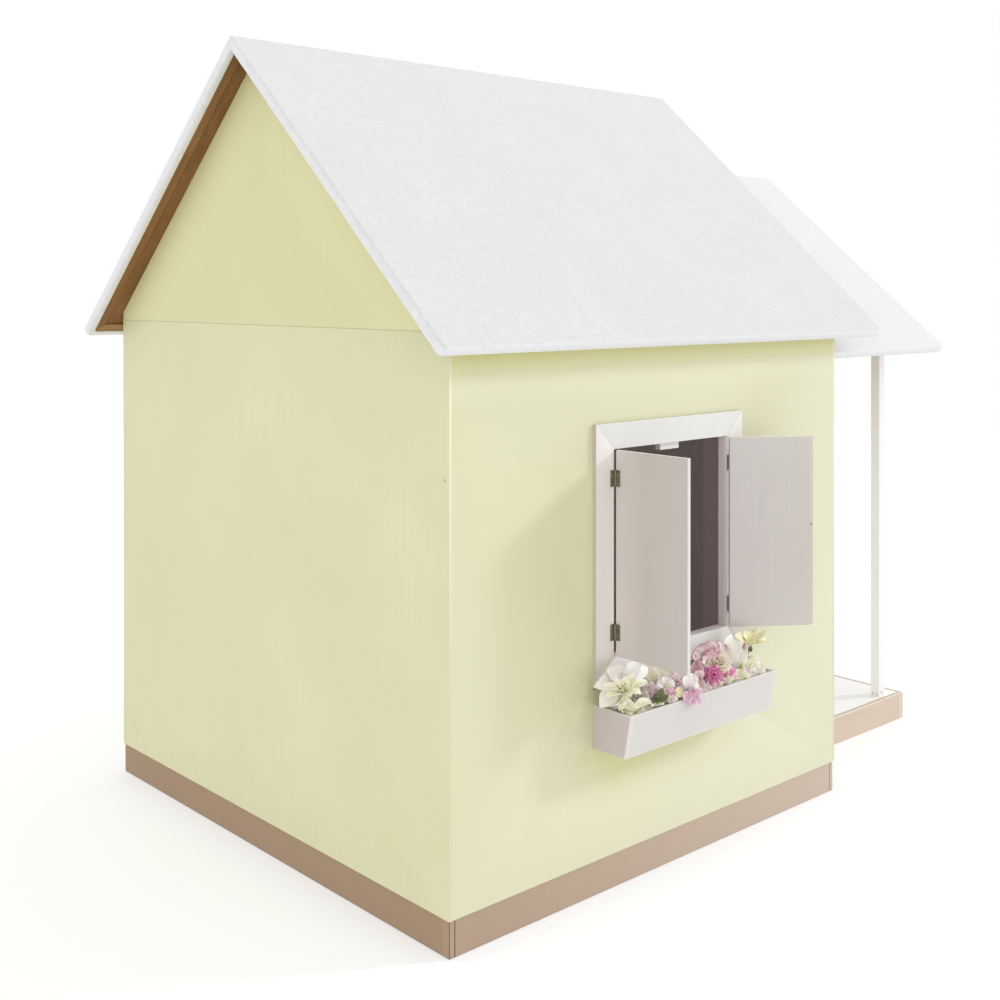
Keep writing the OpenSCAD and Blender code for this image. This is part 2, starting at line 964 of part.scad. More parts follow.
module flower_foam() {
    length = box_l - 2 * box_t - 2 * foam_gap;
    color("darkolivegreen") along_box(-length / 2, length) difference() {
        box_outline(box_t + foam_gap, box_z + box_t + foam_gap, foam_top_z);
        square([wall_x + box_t + foam_gap, far]);
    }
}

module flowers() {
    color("pink") for (i = [-1 : 1]) {
        along_box(i * flower_mound_step - flower_mound_l / 2, flower_mound_l) polygon(flower_outline);
    }
}

module panel_screws() {
    color(dark_steel) {
        wall_screw_places() wall_screw();
        post_nail_places() post_nail();
        box_screw_places() box_screw();
    }
}

base_end_boards();
base_side_boards();
floor_joists();
floor_panel();
back_wall_panel();
back_gable_panel();
front_wall_panel();
front_gable_panel();
window_wall_panel();
plain_wall_panel();
corner_battens();
wall_plates();
gable_seam_battens();
ridge_beams();
roof_cleats();
main_roof_panels();
main_rake_strips();
main_eave_strips();
main_roof_covers();
deck_front_board();
deck_side_boards();
deck_joists();
deck_top();
porch_posts();
porch_header();
porch_side_plates();
porch_gable_panel();
porch_roof_panels();
porch_rake_strips();
porch_eave_strips();
porch_roof_covers();
window_trim_head();
window_trim_sill();
window_trim_stiles();
catch_blocks();
left_shutter();
left_shutter_hinge_leaves();
left_shutter_screws();
right_shutter();
right_shutter_strip();
right_shutter_pull();
right_shutter_hinge_leaves();
right_shutter_screws();
door();
door_pulls();
door_hinge_leaves();
door_screws();
door_trim_head();
door_trim_jambs();
door_threshold();
hinge_frame_leaves();
hinge_pins();
hinge_frame_screws();
panel_screws();
flower_box_front();
flower_box_back();
flower_box_bottom();
flower_box_ends();
flower_foam();
flowers();
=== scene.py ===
import json
import math
import random

import bpy
from mathutils import Matrix, Vector, noise


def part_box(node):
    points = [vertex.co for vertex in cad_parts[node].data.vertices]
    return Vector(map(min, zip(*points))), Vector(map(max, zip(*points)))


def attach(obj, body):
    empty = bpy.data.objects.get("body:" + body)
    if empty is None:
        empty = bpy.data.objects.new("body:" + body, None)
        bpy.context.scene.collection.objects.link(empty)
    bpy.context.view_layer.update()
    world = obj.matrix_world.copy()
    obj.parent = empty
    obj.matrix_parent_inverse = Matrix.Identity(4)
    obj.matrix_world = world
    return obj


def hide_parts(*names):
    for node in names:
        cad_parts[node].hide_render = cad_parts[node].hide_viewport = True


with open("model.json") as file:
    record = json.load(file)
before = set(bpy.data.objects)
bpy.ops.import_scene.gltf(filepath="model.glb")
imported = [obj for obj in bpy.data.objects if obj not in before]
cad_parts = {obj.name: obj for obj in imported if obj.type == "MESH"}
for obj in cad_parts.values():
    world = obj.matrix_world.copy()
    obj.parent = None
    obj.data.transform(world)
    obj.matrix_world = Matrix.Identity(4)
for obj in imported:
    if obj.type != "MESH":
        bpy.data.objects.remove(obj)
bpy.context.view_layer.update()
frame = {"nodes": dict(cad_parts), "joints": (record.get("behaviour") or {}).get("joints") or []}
NODES = frame["nodes"]
HINGES = {joint["name"]: joint["pos_m"] for joint in frame["joints"]}
rng = random.Random(11)
MM = 0.001

# Places that the paints follow, in metres, from the CAD nodes
WALL_INNER_X, WALL_X = (corner.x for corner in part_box("plain_wall_panel"))
END_INNER_Y, END_Y = (corner.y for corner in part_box("back_wall_panel"))
SIDE_END_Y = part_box("plain_wall_panel")[1].y
SEAM_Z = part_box("back_wall_panel")[1].z
SILL_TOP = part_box("window_trim_sill")[1].z
HEAD_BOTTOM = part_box("window_trim_head")[0].z
OPENING_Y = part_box("window_trim_stiles")[1].y - 0.06
BOX_BOTTOM, BOX_TOP = (corner.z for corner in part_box("flower_box_front"))
SKIN = 0.0005
MAIN_PITCH = 42.3
PORCH_PITCH = 40.3


def lin(r, g, b):
    """A colour given as 0-255 values, made linear."""
    out = []
    for v in (r, g, b):
        v /= 255.0
        out.append(v / 12.92 if v <= 0.04045 else ((v + 0.055) / 1.055) ** 2.4)
    return (*out, 1.0)


# ---------------------------------------------------------------- camera

camera = bpy.data.objects.new("camera", bpy.data.cameras.new("camera"))
bpy.context.scene.collection.objects.link(camera)
camera.location = (-2.8044, 2.4642, 1.3905)
camera.rotation_euler = (math.radians(89.78), 0.0, math.radians(-131.88))
camera.data.sensor_width = 36.0
camera.data.lens = 47.56
camera.data.shift_x = 0.0147
camera.data.shift_y = -0.2063
camera.data.clip_end = 60.0
bpy.context.scene.camera = camera

# ---------------------------------------------------------------- light and floor

bpy.context.scene.view_settings.view_transform = "Standard"
world = bpy.data.worlds.new("studio")
bpy.context.scene.world = world
world.use_nodes = True
world.node_tree.nodes["Background"].inputs["Color"].default_value = (1.0, 1.0, 1.0, 1.0)
world.node_tree.nodes["Background"].inputs["Strength"].default_value = 1.0


def light(name, kind, power, color):
    """A new light of a kind, still to be placed."""
    data = bpy.data.lights.new(name, kind)
    data.energy = power
    data.color = color
    ob = bpy.data.objects.new(name, data)
    bpy.context.scene.collection.objects.link(ob)
    return ob


indoors = light("indoor_fill", "POINT", 0.78, (1.0, 0.94, 0.93))
indoors.data.shadow_soft_size = 0.3
indoors.location = (0.1, 0.1, 0.9)

key = light("key", "SUN", 1.2, (0.75, 0.82, 1.0))
key.data.angle = math.radians(9.0)
key.rotation_euler = Vector((-0.45, -0.79, 0.417)).to_track_quat("Z", "Y").to_euler()


# ---------------------------------------------------------------- material helpers

class Shade:
    """One Principled material, with the nodes that feed it."""

    def __init__(self, name, roughness=0.5, metallic=0.0, specular=0.4):
        self.material = bpy.data.materials.new(name)
        self.material.use_nodes = True
        self.tree = self.material.node_tree
        self.bsdf = self.tree.nodes["Principled BSDF"]
        self.bsdf.inputs["Roughness"].default_value = roughness
        self.bsdf.inputs["Metallic"].default_value = metallic
        self.bsdf.inputs["Specular IOR Level"].default_value = specular
        self.place = self.add("ShaderNodeTexCoord").outputs["Object"]

    def add(self, kind, **values):
        node = self.tree.nodes.new(kind)
        for key, value in values.items():
            setattr(node, key, value)
        return node

    def link(self, a, b):
        self.tree.links.new(a, b)

    def scaled(self, x, y, z):
        """Object coordinates, scaled on each axis."""
        node = self.add("ShaderNodeMapping")
        node.inputs["Scale"].default_value = (x, y, z)
        self.link(self.place, node.inputs["Vector"])
        return node.outputs["Vector"]

    def noise(self, vector, scale=1.0, detail=3.0, roughness=0.55):
        node = self.add("ShaderNodeTexNoise")
        node.inputs["Scale"].default_value = scale
        node.inputs["Detail"].default_value = detail
        node.inputs["Roughness"].default_value = roughness
        self.link(vector, node.inputs["Vector"])
        return node.outputs["Fac"]

    def stretch(self, value, low, high, to_low=0.0, to_high=1.0):
        """The value carried from one range to another, and held at its ends."""
        node = self.add("ShaderNodeMapRange")
        node.inputs["From Min"].default_value = low
        node.inputs["From Max"].default_value = high
        node.inputs["To Min"].default_value = to_low
        node.inputs["To Max"].default_value = to_high
        self.link(value, node.inputs["Value"])
        return node.outputs["Result"]

    def math(self, kind, a, b=None):
        node = self.add("ShaderNodeMath", operation=kind)
        for i, v in enumerate((a, b)):
            if v is None:
                continue
            if isinstance(v, (int, float)):
                node.inputs[i].default_value = v
            else:
                self.link(v, node.inputs[i])
        return node.outputs["Value"]

    def both(self, *masks):
        """Masks and weights multiplied together."""
        out = masks[0]
        for mask in masks[1:]:
            out = self.math("MULTIPLY", out, mask)
        return out

    def above(self, value, limit):
        return self.math("GREATER_THAN", value, limit)

    def below(self, value, limit):
        return self.math("LESS_THAN", value, limit)

    def near(self, value, middle, reach):
        return self.below(self.math("ABSOLUTE", self.math("SUBTRACT", value, middle)), reach)

    def mix(self, factor, a, b):
        node = self.add("ShaderNodeMix", data_type="RGBA")
        if isinstance(factor, (int, float)):
            node.inputs[0].default_value = factor
        else:
            self.link(factor, node.inputs[0])
        for socket, v in ((node.inputs[6], a), (node.inputs[7], b)):
            if isinstance(v, tuple):
                socket.default_value = v
            else:
                self.link(v, socket)
        return node.outputs[2]

    def axis(self, letter):
        """One object coordinate, in metres."""
        node = self.add("ShaderNodeSeparateXYZ")
        self.link(self.place, node.inputs[0])
        return node.outputs[letter]

    def rough(self, value, low, high):
        self.link(self.stretch(value, 0.3, 0.7, low, high), self.bsdf.inputs["Roughness"])

    def bump(self, value, distance, strength=1.0, under=None):
        node = self.add("ShaderNodeBump")
        node.inputs["Distance"].default_value = distance
        node.inputs["Strength"].default_value = strength
        self.link(value, node.inputs["Height"])
        if under is not None:
            self.link(under, node.inputs["Normal"])
        return node.outputs["Normal"]

    def normal(self, value):
        self.link(value, self.bsdf.inputs["Normal"])

    def facing(self, x, y, z):
        """1 on faces square to a direction, 0 on the others."""
        node = self.add("ShaderNodeVectorMath", operation="DOT_PRODUCT")
        self.link(self.add("ShaderNodeTexCoord").outputs["Normal"], node.inputs[0])
        node.inputs[1].default_value = (x, y, z)
        return self.stretch(node.outputs["Value"], 0.85, 0.95)

    def finish(self, tone):
        """The finished material, coloured by tone."""
        self.link(tone, self.bsdf.inputs["Base Color"])
        return self.material


def paint(name, base, light, dark, roughness=0.45):
    """Brushed paint: broad cloudiness, faint upright brush streaks and a fine orange peel."""
    s = Shade(name, roughness)
    cloud = s.noise(s.place, 2.6, 4.0)
    fine = s.noise(s.scaled(260.0, 260.0, 5.0), 1.0, 3.0, 0.6)
    peel = s.noise(s.place, 520.0, 2.0)
    tone = s.mix(s.stretch(cloud, 0.3, 0.7), dark, light)
    tone = s.mix(0.55, base, tone)
    tone = s.mix(s.stretch(fine, 0.42, 0.75, 0.0, 0.34), tone, dark)
    tone = s.mix(s.stretch(fine, 0.44, 0.2, 0.0, 0.3), tone, light)
    s.rough(cloud, roughness - 0.05, roughness + 0.07)
    s.normal(s.bump(peel, 0.00008, 0.6, s.bump(fine, 0.00012, 0.7)))
    return s, tone


def plain_paint(name, base, light, dark, roughness=0.45):
    """The same paint all over."""
    s, tone = paint(name, base, light, dark, roughness)
    return s.finish(tone)


def wall_edge_paint():
    """The walls' eased arrises, paler than the walls as a painted highlight, with dark joints between panels.
    """
    s, tone = paint("wall_paint_edges", lin(226, 225, 190), lin(230, 229, 198), lin(218, 216, 176), 0.42)
    end, z = s.math("ABSOLUTE", s.axis("Y")), s.axis("Z")
    tone = s.mix(s.both(s.near(z, SEAM_Z, 0.0022), 0.5), tone, lin(186, 181, 132))
    tone = s.mix(s.both(s.near(end, SIDE_END_Y, 0.0023), 0.9), tone, lin(140, 134, 78))
    arris = s.both(s.above(end, END_Y - 0.0025), s.stretch(z, 1.2, 0.6, 0.25, 0.9))
    return s.finish(s.mix(arris, tone, lin(124, 118, 62)))


def gable_tint(s, tone, side, z):
    """Deeper in the gables, and paler close under the roof: painted light that cancels the roof's shade
    there.
    """
    gable = s.stretch(z, SEAM_Z, SEAM_Z + 0.002)
    tone = s.mix(s.both(gable, 0.5), tone, lin(213, 208, 152))
    roof_height = s.math("ADD", z, s.both(side, math.tan(math.radians(MAIN_PITCH))))
    below_roof = s.math("SUBTRACT", 1.972, roof_height)
    return s.mix(s.both(gable, s.stretch(below_roof, 0.3, 0.0, 0.0, 0.32)), tone, lin(252, 248, 190))


def side_wall_tint(s, tone, side, end, z, west, y):
    """The window side pales towards the front and the ground as painted light, a band below the eaves is
    paler as painted light, and both sides deepen right under the eaves as painted shade.
    """
    pale = s.math("ADD", s.stretch(y, END_Y, -END_Y, 0.0, 0.95), s.stretch(z, 0.9, 0.0, 0.0, 0.6))
    light_wash = s.mix(s.stretch(pale, 0.0, 1.3), lin(214, 212, 173), lin(222, 219, 191))
    tone = s.mix(s.both(west, 0.85), tone, light_wash)
    outside = s.above(side, WALL_X - SKIN)
    tone = s.mix(s.both(s.stretch(z, 1.13, 1.2), outside, 0.4), tone, lin(236, 234, 200))
    # Painted shade: deep yellow right under the eaves
    eaves = s.both(s.stretch(z, 1.2, 1.27), outside, s.below(end, SIDE_END_Y + 0.0001))
    return s.mix(s.both(eaves, 0.85), tone, lin(228, 226, 134))


def window_surround_tint(s, tone, west, y, z):
    """Painted shade under the flower box and where the open left shutter casts its shadow, and painted light
    close to the trim, where shade falls.
    """
    under_box = s.both(s.stretch(z, 0.2, 0.32), s.below(z, BOX_BOTTOM + 0.005), s.stretch(y, -0.3, 0.15),
                       s.stretch(y, 0.37, 0.2))
    tone = s.mix(s.both(under_box, west, 0.85), tone, lin(208, 205, 138))
    behind = s.both(s.stretch(z, BOX_BOTTOM, BOX_TOP), s.stretch(z, HEAD_BOTTOM, HEAD_BOTTOM - 0.06), west,
                    s.above(y, 0.25))
    tone = s.mix(s.both(behind, s.stretch(y, 0.64, 0.45, 0.0, 0.45)), tone, lin(216, 214, 168))
    return s.mix(s.both(behind, s.stretch(y, 0.37, 0.29, 0.0, 0.5)), tone, lin(228, 227, 184))


def wall_paint():
    """Pale yellow paint outside, the trim's paint in the window's reveal, and pale board inside."""
    s, tone = paint("wall_paint", lin(217, 216, 174), lin(223, 222, 184), lin(210, 208, 163), 0.42)
    x, y, z = s.axis("X"), s.axis("Y"), s.axis("Z")
    side, end = s.math("ABSOLUTE", x), s.math("ABSOLUTE", y)
    west = s.below(x, SKIN - WALL_X)
    tone = gable_tint(s, tone, side, z)
    tone = side_wall_tint(s, tone, side, end, z, west, y)
    # The thin ends of the front and back panels show at the corners, paler towards the top as painted light
    # that cancels the eaves' shade
    lip = s.both(s.above(side, WALL_X - 0.00005), s.above(end, SIDE_END_Y + 0.0001), 0.9)
    tone = s.mix(lip, tone, s.mix(s.stretch(z, 0.5, 1.25), lin(208, 206, 166), lin(238, 236, 206)))
    tone = window_surround_tint(s, tone, west, y, z)
    opening = s.both(s.below(end, OPENING_Y + SKIN), s.below(z, HEAD_BOTTOM + SKIN),
                     s.above(z, SILL_TOP - SKIN))
    tone = s.mix(s.both(opening, s.below(x, -0.7)), tone, lin(240, 224, 222))
    inside = s.both(s.below(side, WALL_INNER_X + SKIN), s.below(end, END_INNER_Y + SKIN))
    board = s.mix(s.noise(s.scaled(90, 90, 3), 1.0, 4.0), lin(250, 239, 237), lin(243, 230, 228))
    return s.finish(s.mix(inside, tone, board))


def wood(name, light, mid, dark, roughness, grain, bump=0.0002):
    """Wood with grain streaks, growth bands and small pores. grain is the streaks' scale on each axis."""
    s = Shade(name, roughness, specular=0.3)
    warp = s.noise(s.place, 3.0, 2.0)
    bands = s.noise(s.scaled(*grain), 1.0, 5.0, 0.62)
    pores = s.noise(s.scaled(*(g * 6.0 for g in grain)), 1.0, 2.0, 0.7)
    tone = s.mix(s.stretch(bands, 0.32, 0.68), dark, light)
    tone = s.mix(s.stretch(warp, 0.35, 0.65, 0.15, 0.65), tone, mid)
    tone = s.mix(s.stretch(pores, 0.56, 0.72, 0.0, 0.55), tone, dark)
    s.rough(bands, roughness - 0.06, roughness + 0.1)
    s.normal(s.bump(pores, bump * 0.6, 0.7, s.bump(bands, bump, 0.8)))
    return s, tone


def plain_wood(name, light, mid, dark, roughness, grain, bump=0.0002):
    s, tone = wood(name, light, mid, dark, roughness, grain, bump)
    return s.finish(tone)


def felt_material(name, bright):
    """Clumped white fibres with a soft sheen. The tint on the mesh marks the turned edges, which lie in
    shade; they get a cooler white than the warm top, as painted shade. bright is added to the fibres'
    colours."""
    s = Shade(name, 0.95, specular=0.15)
    s.bsdf.inputs["Sheen Weight"].default_value = 0.25
    s.bsdf.inputs["Sheen Roughness"].default_value = 0.6
    clump = s.noise(s.place, 75.0, 5.0, 0.7)
    fibre = s.noise(s.place, 420.0, 3.0, 0.75)
    broad = s.noise(s.place, 5.0, 3.0)
    shade = [lin(*(v + bright for v in c)) for c in ((208, 206, 203), (221, 219, 216), (228, 226, 224))]
    tone = s.mix(s.stretch(clump, 0.34, 0.66), shade[0], shade[1])
    tone = s.mix(s.stretch(fibre, 0.35, 0.65, 0.0, 0.4), tone, shade[2])
    tone = s.mix(s.stretch(broad, 0.35, 0.65, 0.0, 0.25), tone, shade[0])
    edge = s.add("ShaderNodeAttribute", attribute_name="tint").outputs["Fac"]
    # The turned edges, in shade, get a cooler white: painted shade
    tone = s.mix(edge, tone, s.mix(s.stretch(clump, 0.3, 0.7), lin(221, 221, 221), lin(233, 233, 234)))
    s.normal(s.bump(fibre, 0.0009, 0.55, s.bump(clump, 0.0016, 0.6)))
    return s.finish(tone)


def metal(name, base, worn, dark, metallic):
    """Dull old metal: a blotchy patina, scuffed to a lighter tone."""
    s = Shade(name, 0.5, metallic, 0.5)
    patina = s.noise(s.place, 160.0, 4.0, 0.65)
    scuff = s.noise(s.place, 900.0, 3.0, 0.7)
    tone = s.mix(s.stretch(patina, 0.35, 0.65), dark, base)
    tone = s.mix(s.stretch(scuff, 0.55, 0.75, 0.0, 0.6), tone, worn)
    s.rough(patina, 0.4, 0.65)
    s.normal(s.bump(scuff, 0.00004, 0.5))
    return s.finish(tone)


def screw_paint():
    """Filled and painted over on the walls, bare on one row and on the posts' nails."""
    s = Shade("panel_screws", 0.5, 0.0, 0.4)
    z = s.axis("Z")
    speck = s.noise(s.place, 700.0, 3.0)
    bare = s.below(z, 0.12)
    row = s.both(s.above(z, 0.98), s.below(z, 1.0))
    covered = s.mix(s.stretch(speck, 0.35, 0.65), lin(208, 206, 160), lin(222, 221, 181))
    olive = s.mix(s.stretch(speck, 0.35, 0.65), lin(176, 171, 122), lin(192, 188, 142))
    steel = s.mix(s.stretch(speck, 0.35, 0.65), lin(84, 72, 62), lin(120, 106, 94))
    s.normal(s.bump(speck, 0.00006, 0.6))
    return s.finish(s.mix(bare, s.mix(row, covered, olive), steel))


def foam_material():
    """Dusty green floral foam, with open cells."""
    s = Shade("floral_foam", 0.95, specular=0.1)
    cells = s.noise(s.place, 900.0, 3.0, 0.8)
    s.normal(s.bump(cells, 0.0012, 1.0))
    return s.finish(s.mix(s.stretch(cells, 0.35, 0.65), lin(128, 134, 98), lin(160, 164, 124)))


def petal_material(name, roughness, vein):
    """Artificial petals and leaves: the tint is painted on the mesh; veins and weave come from noise."""
    s = Shade(name, roughness, specular=0.2)
    s.bsdf.inputs["Subsurface Weight"].default_value = 0.12
    s.bsdf.inputs["Subsurface Radius"].default_value = (0.01, 0.006, 0.004)
    s.bsdf.inputs["Sheen Weight"].default_value = 0.15
    tint = s.add("ShaderNodeAttribute", attribute_name="tint").outputs["Color"]
    threads = s.noise(s.place, 1400.0, 2.0)
    veins = s.noise(s.place, 190.0, 4.0, 0.7)
    darker = s.add("ShaderNodeMix", data_type="RGBA", blend_type="MULTIPLY")
    s.link(s.stretch(veins, 0.5, 0.72, 0.0, vein), darker.inputs[0])
    s.link(tint, darker.inputs[6])
    darker.inputs[7].default_value = lin(150, 130, 110)
    s.normal(s.bump(threads, 0.0001, 0.5, s.bump(veins, 0.0005, 0.6)))
    return s.finish(darker.outputs[2])


def stile_paint():
    """The upright trims, lighter than the other trim as painted light: lighter still beside the left leaf,
    where its shade falls, and on the narrow sides, with painted shade on the outer narrow side.
    """
    s, tone = paint("stile_paint", lin(231, 226, 217), lin(236, 232, 224), lin(223, 217, 208))
    y = s.axis("Y")
    by_leaf = s.both(s.stretch(y, 0.262, 0.215), s.above(y, 0.0),
                     s.stretch(s.axis("Z"), 0.8, 0.55, 0.45, 1.0))
    tone = s.mix(by_leaf, tone, lin(253, 246, 235))
    across = s.math("MAXIMUM", s.facing(0.0, 1.0, 0.0), s.facing(0.0, -1.0, 0.0))
    outer = s.both(across, s.above(y, 0.25))
    tone = s.mix(across, tone, lin(251, 249, 242))
    return s.finish(s.mix(outer, tone, lin(208, 193, 186)))


def box_paint():
    """The flower box, a little pinker on its end that faces the back, as painted shade."""
    s, tone = paint("box_paint", lin(210, 205, 198), lin(216, 211, 205), lin(202, 196, 189))
    return s.finish(s.mix(s.both(s.facing(0.0, 1.0, 0.0), 0.8), tone, lin(206, 194, 197)))


def post_paint():
    """The posts, near white as painted light, with painted shade on their window side."""
    s, tone = paint("post_paint", lin(251, 249, 251), lin(253, 252, 253), lin(246, 243, 244))
    return s.finish(s.mix(s.facing(-1.0, 0.0, 0.0), tone, lin(238, 235, 233)))


def leaf_direction(node, hinge):
    """Level, from a hinge towards the middle of the leaf that hangs on it."""
    mesh = NODES[node].data
    middle = sum((v.co for v in mesh.vertices), Vector()) / len(mesh.vertices)
    return (middle - Vector((*hinge[:2], middle.z))).normalized()


def shutter_paint(name, base, light, dark, node, hinge, reach, glow=0.0):
    """Warm white paint on a hinged leaf.

    reach is how strong the painted highlight on its top and free edge is, and glow how much painted light it
    has beside its hinges, where shade falls.
    """
    s, tone = paint(name, base, light, dark, 0.5)
    leaf = leaf_direction(node, hinge)
    if glow:
        along = s.math("ADD", s.both(s.axis("X"), leaf.x), s.both(s.axis("Y"), leaf.y))
        start = leaf.x * hinge[0] + leaf.y * hinge[1]
        low = s.stretch(s.axis("Z"), 0.75, 0.5, 0.55, 1.0)
        beside = s.both(s.stretch(along, start + 0.08, start, 0.0, glow), low)
        tone = s.mix(beside, tone, lin(242, 232, 226))
    # Painted highlight on the top and the free edge, and painted light on the end face by the hinges
    edge = s.math("MAXIMUM", s.facing(0.0, 0.0, 1.0), s.facing(leaf.x, leaf.y, 0.0))
    tone = s.mix(s.both(edge, reach), tone, lin(250, 247, 232))
    return s.finish(s.mix(s.facing(-leaf.x, -leaf.y, 0.0), tone, lin(253, 251, 246)))


def plinth_paint(name, light, mid, dark, pale):
    """Taupe paint over planed boards, with painted shade on the faces towards the back and painted light,
    paler towards the front, on the window side.
    """
    s, tone = wood(name, light, mid, dark, 0.55, (4.0, 4.0, 90.0), 0.00008)
    fine = s.noise(s.place, 260.0, 3.0, 0.7)
    tone = s.mix(0.72, tone, s.mix(s.stretch(fine, 0.3, 0.7), dark, light))
    tone = s.mix(0.35, tone, mid)
    tone = s.mix(s.both(s.facing(0.0, 1.0, 0.0), 0.5), tone, dark)
    front_light_wash = s.both(s.below(s.axis("X"), -0.7), s.stretch(s.axis("Y"), 0.65, -0.75, 0.12, 1.0))
    return s.finish(s.mix(front_light_wash, tone, pale))


WALL = wall_paint()
WALL_EDGE = wall_edge_paint()
# One white paint in several copies: the stiles, sill, posts and deck are lighter as painted light, and the
# left shutter darker and pinker as painted shade beside the right one
WHITE = plain_paint("white_paint", lin(221, 219, 212), lin(227, 225, 219), lin(213, 210, 203))
STILE = stile_paint()
SILL = plain_paint("sill_paint", lin(248, 244, 240), lin(251, 249, 246), lin(241, 236, 231))
# Paler edges: a painted highlight on the eased arrises
WHITE_EDGE = plain_paint("white_paint_edges", lin(238, 236, 226), lin(243, 241, 232), lin(228, 225, 215))
BOX = box_paint()
POST = post_paint()
DECK = plain_paint("deck_paint", lin(253, 251, 248), lin(254, 253, 252), lin(248, 244, 241), 0.5)
SHUTTER_SHADED = shutter_paint("shutter_paint", lin(203, 194, 193), lin(209, 201, 200), lin(195, 185, 184),
                        "left_shutter", HINGES["left_shutter_hinge"], 0.6, 0.75)
SHUTTER_LIT = shutter_paint("shutter_paint_lit", lin(208, 202, 196), lin(214, 208, 203), lin(201, 194, 189),
                             "right_shutter", HINGES["right_shutter_hinge"], 1.0)
STRIP = shutter_paint("shutter_strip_paint", lin(208, 202, 193), lin(214, 208, 200), lin(201, 194, 185),
                      "right_shutter", HINGES["right_shutter_hinge"], 0.9)
TAUPE = plinth_paint("skirting_paint", lin(176, 152, 128), lin(168, 143, 119), lin(157, 130, 104),
                     lin(197, 178, 160))
TAUPE_EDGE = plinth_paint("skirting_edges", lin(132, 106, 82), lin(122, 96, 72), lin(104, 78, 56),
                          lin(150, 128, 106))
DECK_SIDE = plain_wood("deck_side_paint", lin(214, 195, 175), lin(209, 189, 169), lin(201, 180, 159), 0.5,
                       (4.0, 4.0, 90.0), 0.00006)
ROOF_WOOD = plain_wood("roof_wood", lin(152, 111, 65), lin(134, 95, 54), lin(107, 73, 39), 0.75,
                       (5.0, 22.0, 5.0))
STRIP_WOOD = plain_wood("roof_strip_wood", lin(156, 114, 68), lin(140, 100, 58), lin(112, 78, 44), 0.7,
                        (5.0, 26.0, 5.0))
EAVE_WOOD = plain_wood("roof_eave_wood", lin(184, 147, 98), lin(166, 129, 82), lin(136, 101, 58), 0.7,
                       (24.0, 5.0, 24.0))
FRAME_WOOD = plain_wood("frame_wood", lin(214, 184, 140), lin(200, 168, 124), lin(168, 132, 90), 0.7,
                        (30.0, 30.0, 30.0), 0.0003)
PALE_BOARD = plain_wood("pale_board", lin(250, 241, 236), lin(245, 234, 228), lin(236, 222, 214), 0.7,
                        (4.0, 40.0, 4.0), 0.0001)
FELT = felt_material("roof_felt", 0)
PORCH_FELT = felt_material("porch_roof_felt", 10)
HINGE = metal("hinge_metal", lin(158, 148, 124), lin(200, 192, 166), lin(106, 97, 80), 0.7)
DARK = metal("dark_steel", lin(70, 64, 58), lin(120, 112, 104), lin(40, 36, 32), 0.6)
SCREWS = screw_paint()
FOAM = foam_material()
PETAL = petal_material("petals", 0.62, 0.16)
LEAF = petal_material("leaves", 0.45, 0.3)

# ---------------------------------------------------------------- finishing the CAD nodes


def ease_arrises(ob, width, edge):
    """Rounds a node's sharp edges, and gives them the edge material, if there is one."""
    weld = ob.modifiers.new("weld", "WELD")
    weld.merge_threshold = 0.00001
    flat = ob.modifiers.new("flat", "DECIMATE")
    flat.decimate_type = "DISSOLVE"
    flat.angle_limit = math.radians(0.4)
    bevel = ob.modifiers.new("eased", "BEVEL")
    bevel.width = width
    bevel.segments = 2
    bevel.limit_method = "ANGLE"
    bevel.angle_limit = math.radians(50)
    bevel.use_clamp_overlap = True
    if edge is not None:
        ob.data.materials.append(edge)
        bevel.material = 1


def dress(names, material, edge=None, ease=0.0):
    """Gives CAD nodes their material, and where ease isn't 0 rounds their arrises by it."""
    for name in names:
        ob = NODES[name]
        ob.data.materials.clear()
        ob.data.materials.append(material)
        if ease:
            ease_arrises(ob, ease, edge)


dress(["back_wall_panel", "back_gable_panel", "front_wall_panel", "front_gable_panel", "window_wall_panel",
       "plain_wall_panel", "porch_gable_panel"], WALL, WALL_EDGE, 0.0012)
dress(["window_trim_head", "catch_blocks", "door", "door_trim_head",
       "door_trim_jambs", "door_threshold", "porch_header", "porch_side_plates"], WHITE, WHITE_EDGE, 0.0012)
dress(["window_trim_stiles"], STILE, WHITE_EDGE, 0.0012)
dress(["window_trim_sill"], SILL, WHITE_EDGE, 0.0012)
dress(["flower_box_front", "flower_box_back", "flower_box_bottom", "flower_box_ends"], BOX, WHITE_EDGE,
      0.0012)
dress(["porch_posts"], POST, WHITE_EDGE, 0.0012)
dress(["deck_top"], DECK, WHITE_EDGE, 0.0012)
dress(["left_shutter"], SHUTTER_SHADED, WHITE_EDGE, 0.001)
dress(["right_shutter"], SHUTTER_LIT, WHITE_EDGE, 0.001)
dress(["right_shutter_strip"], STRIP, WHITE_EDGE, 0.0016)
dress(["base_end_boards", "base_side_boards"], TAUPE, TAUPE_EDGE, 0.0015)
dress(["deck_side_boards", "deck_front_board"], DECK_SIDE, WHITE_EDGE, 0.0015)
dress(["main_roof_panels", "porch_roof_panels"], ROOF_WOOD)
dress(["main_rake_strips", "porch_rake_strips"], STRIP_WOOD, None, 0.0015)
dress(["main_eave_strips", "porch_eave_strips"], EAVE_WOOD, None, 0.0015)
dress(["floor_joists", "wall_plates", "ridge_beams", "roof_cleats", "deck_joists"], FRAME_WOOD, None, 0.0015)
dress(["floor_panel", "corner_battens", "gable_seam_battens"], PALE_BOARD, None, 0.0015)
dress(["hinge_frame_leaves", "hinge_pins", "hinge_frame_screws", "left_shutter_hinge_leaves",
       "left_shutter_screws", "right_shutter_hinge_leaves", "right_shutter_screws", "door_hinge_leaves",
       "door_screws", "door_pulls"], HINGE)
dress(["right_shutter_pull"], DARK)
dress(["panel_screws"], SCREWS)
dress(["flower_foam"], FOAM)


# ---------------------------------------------------------------- new pieces

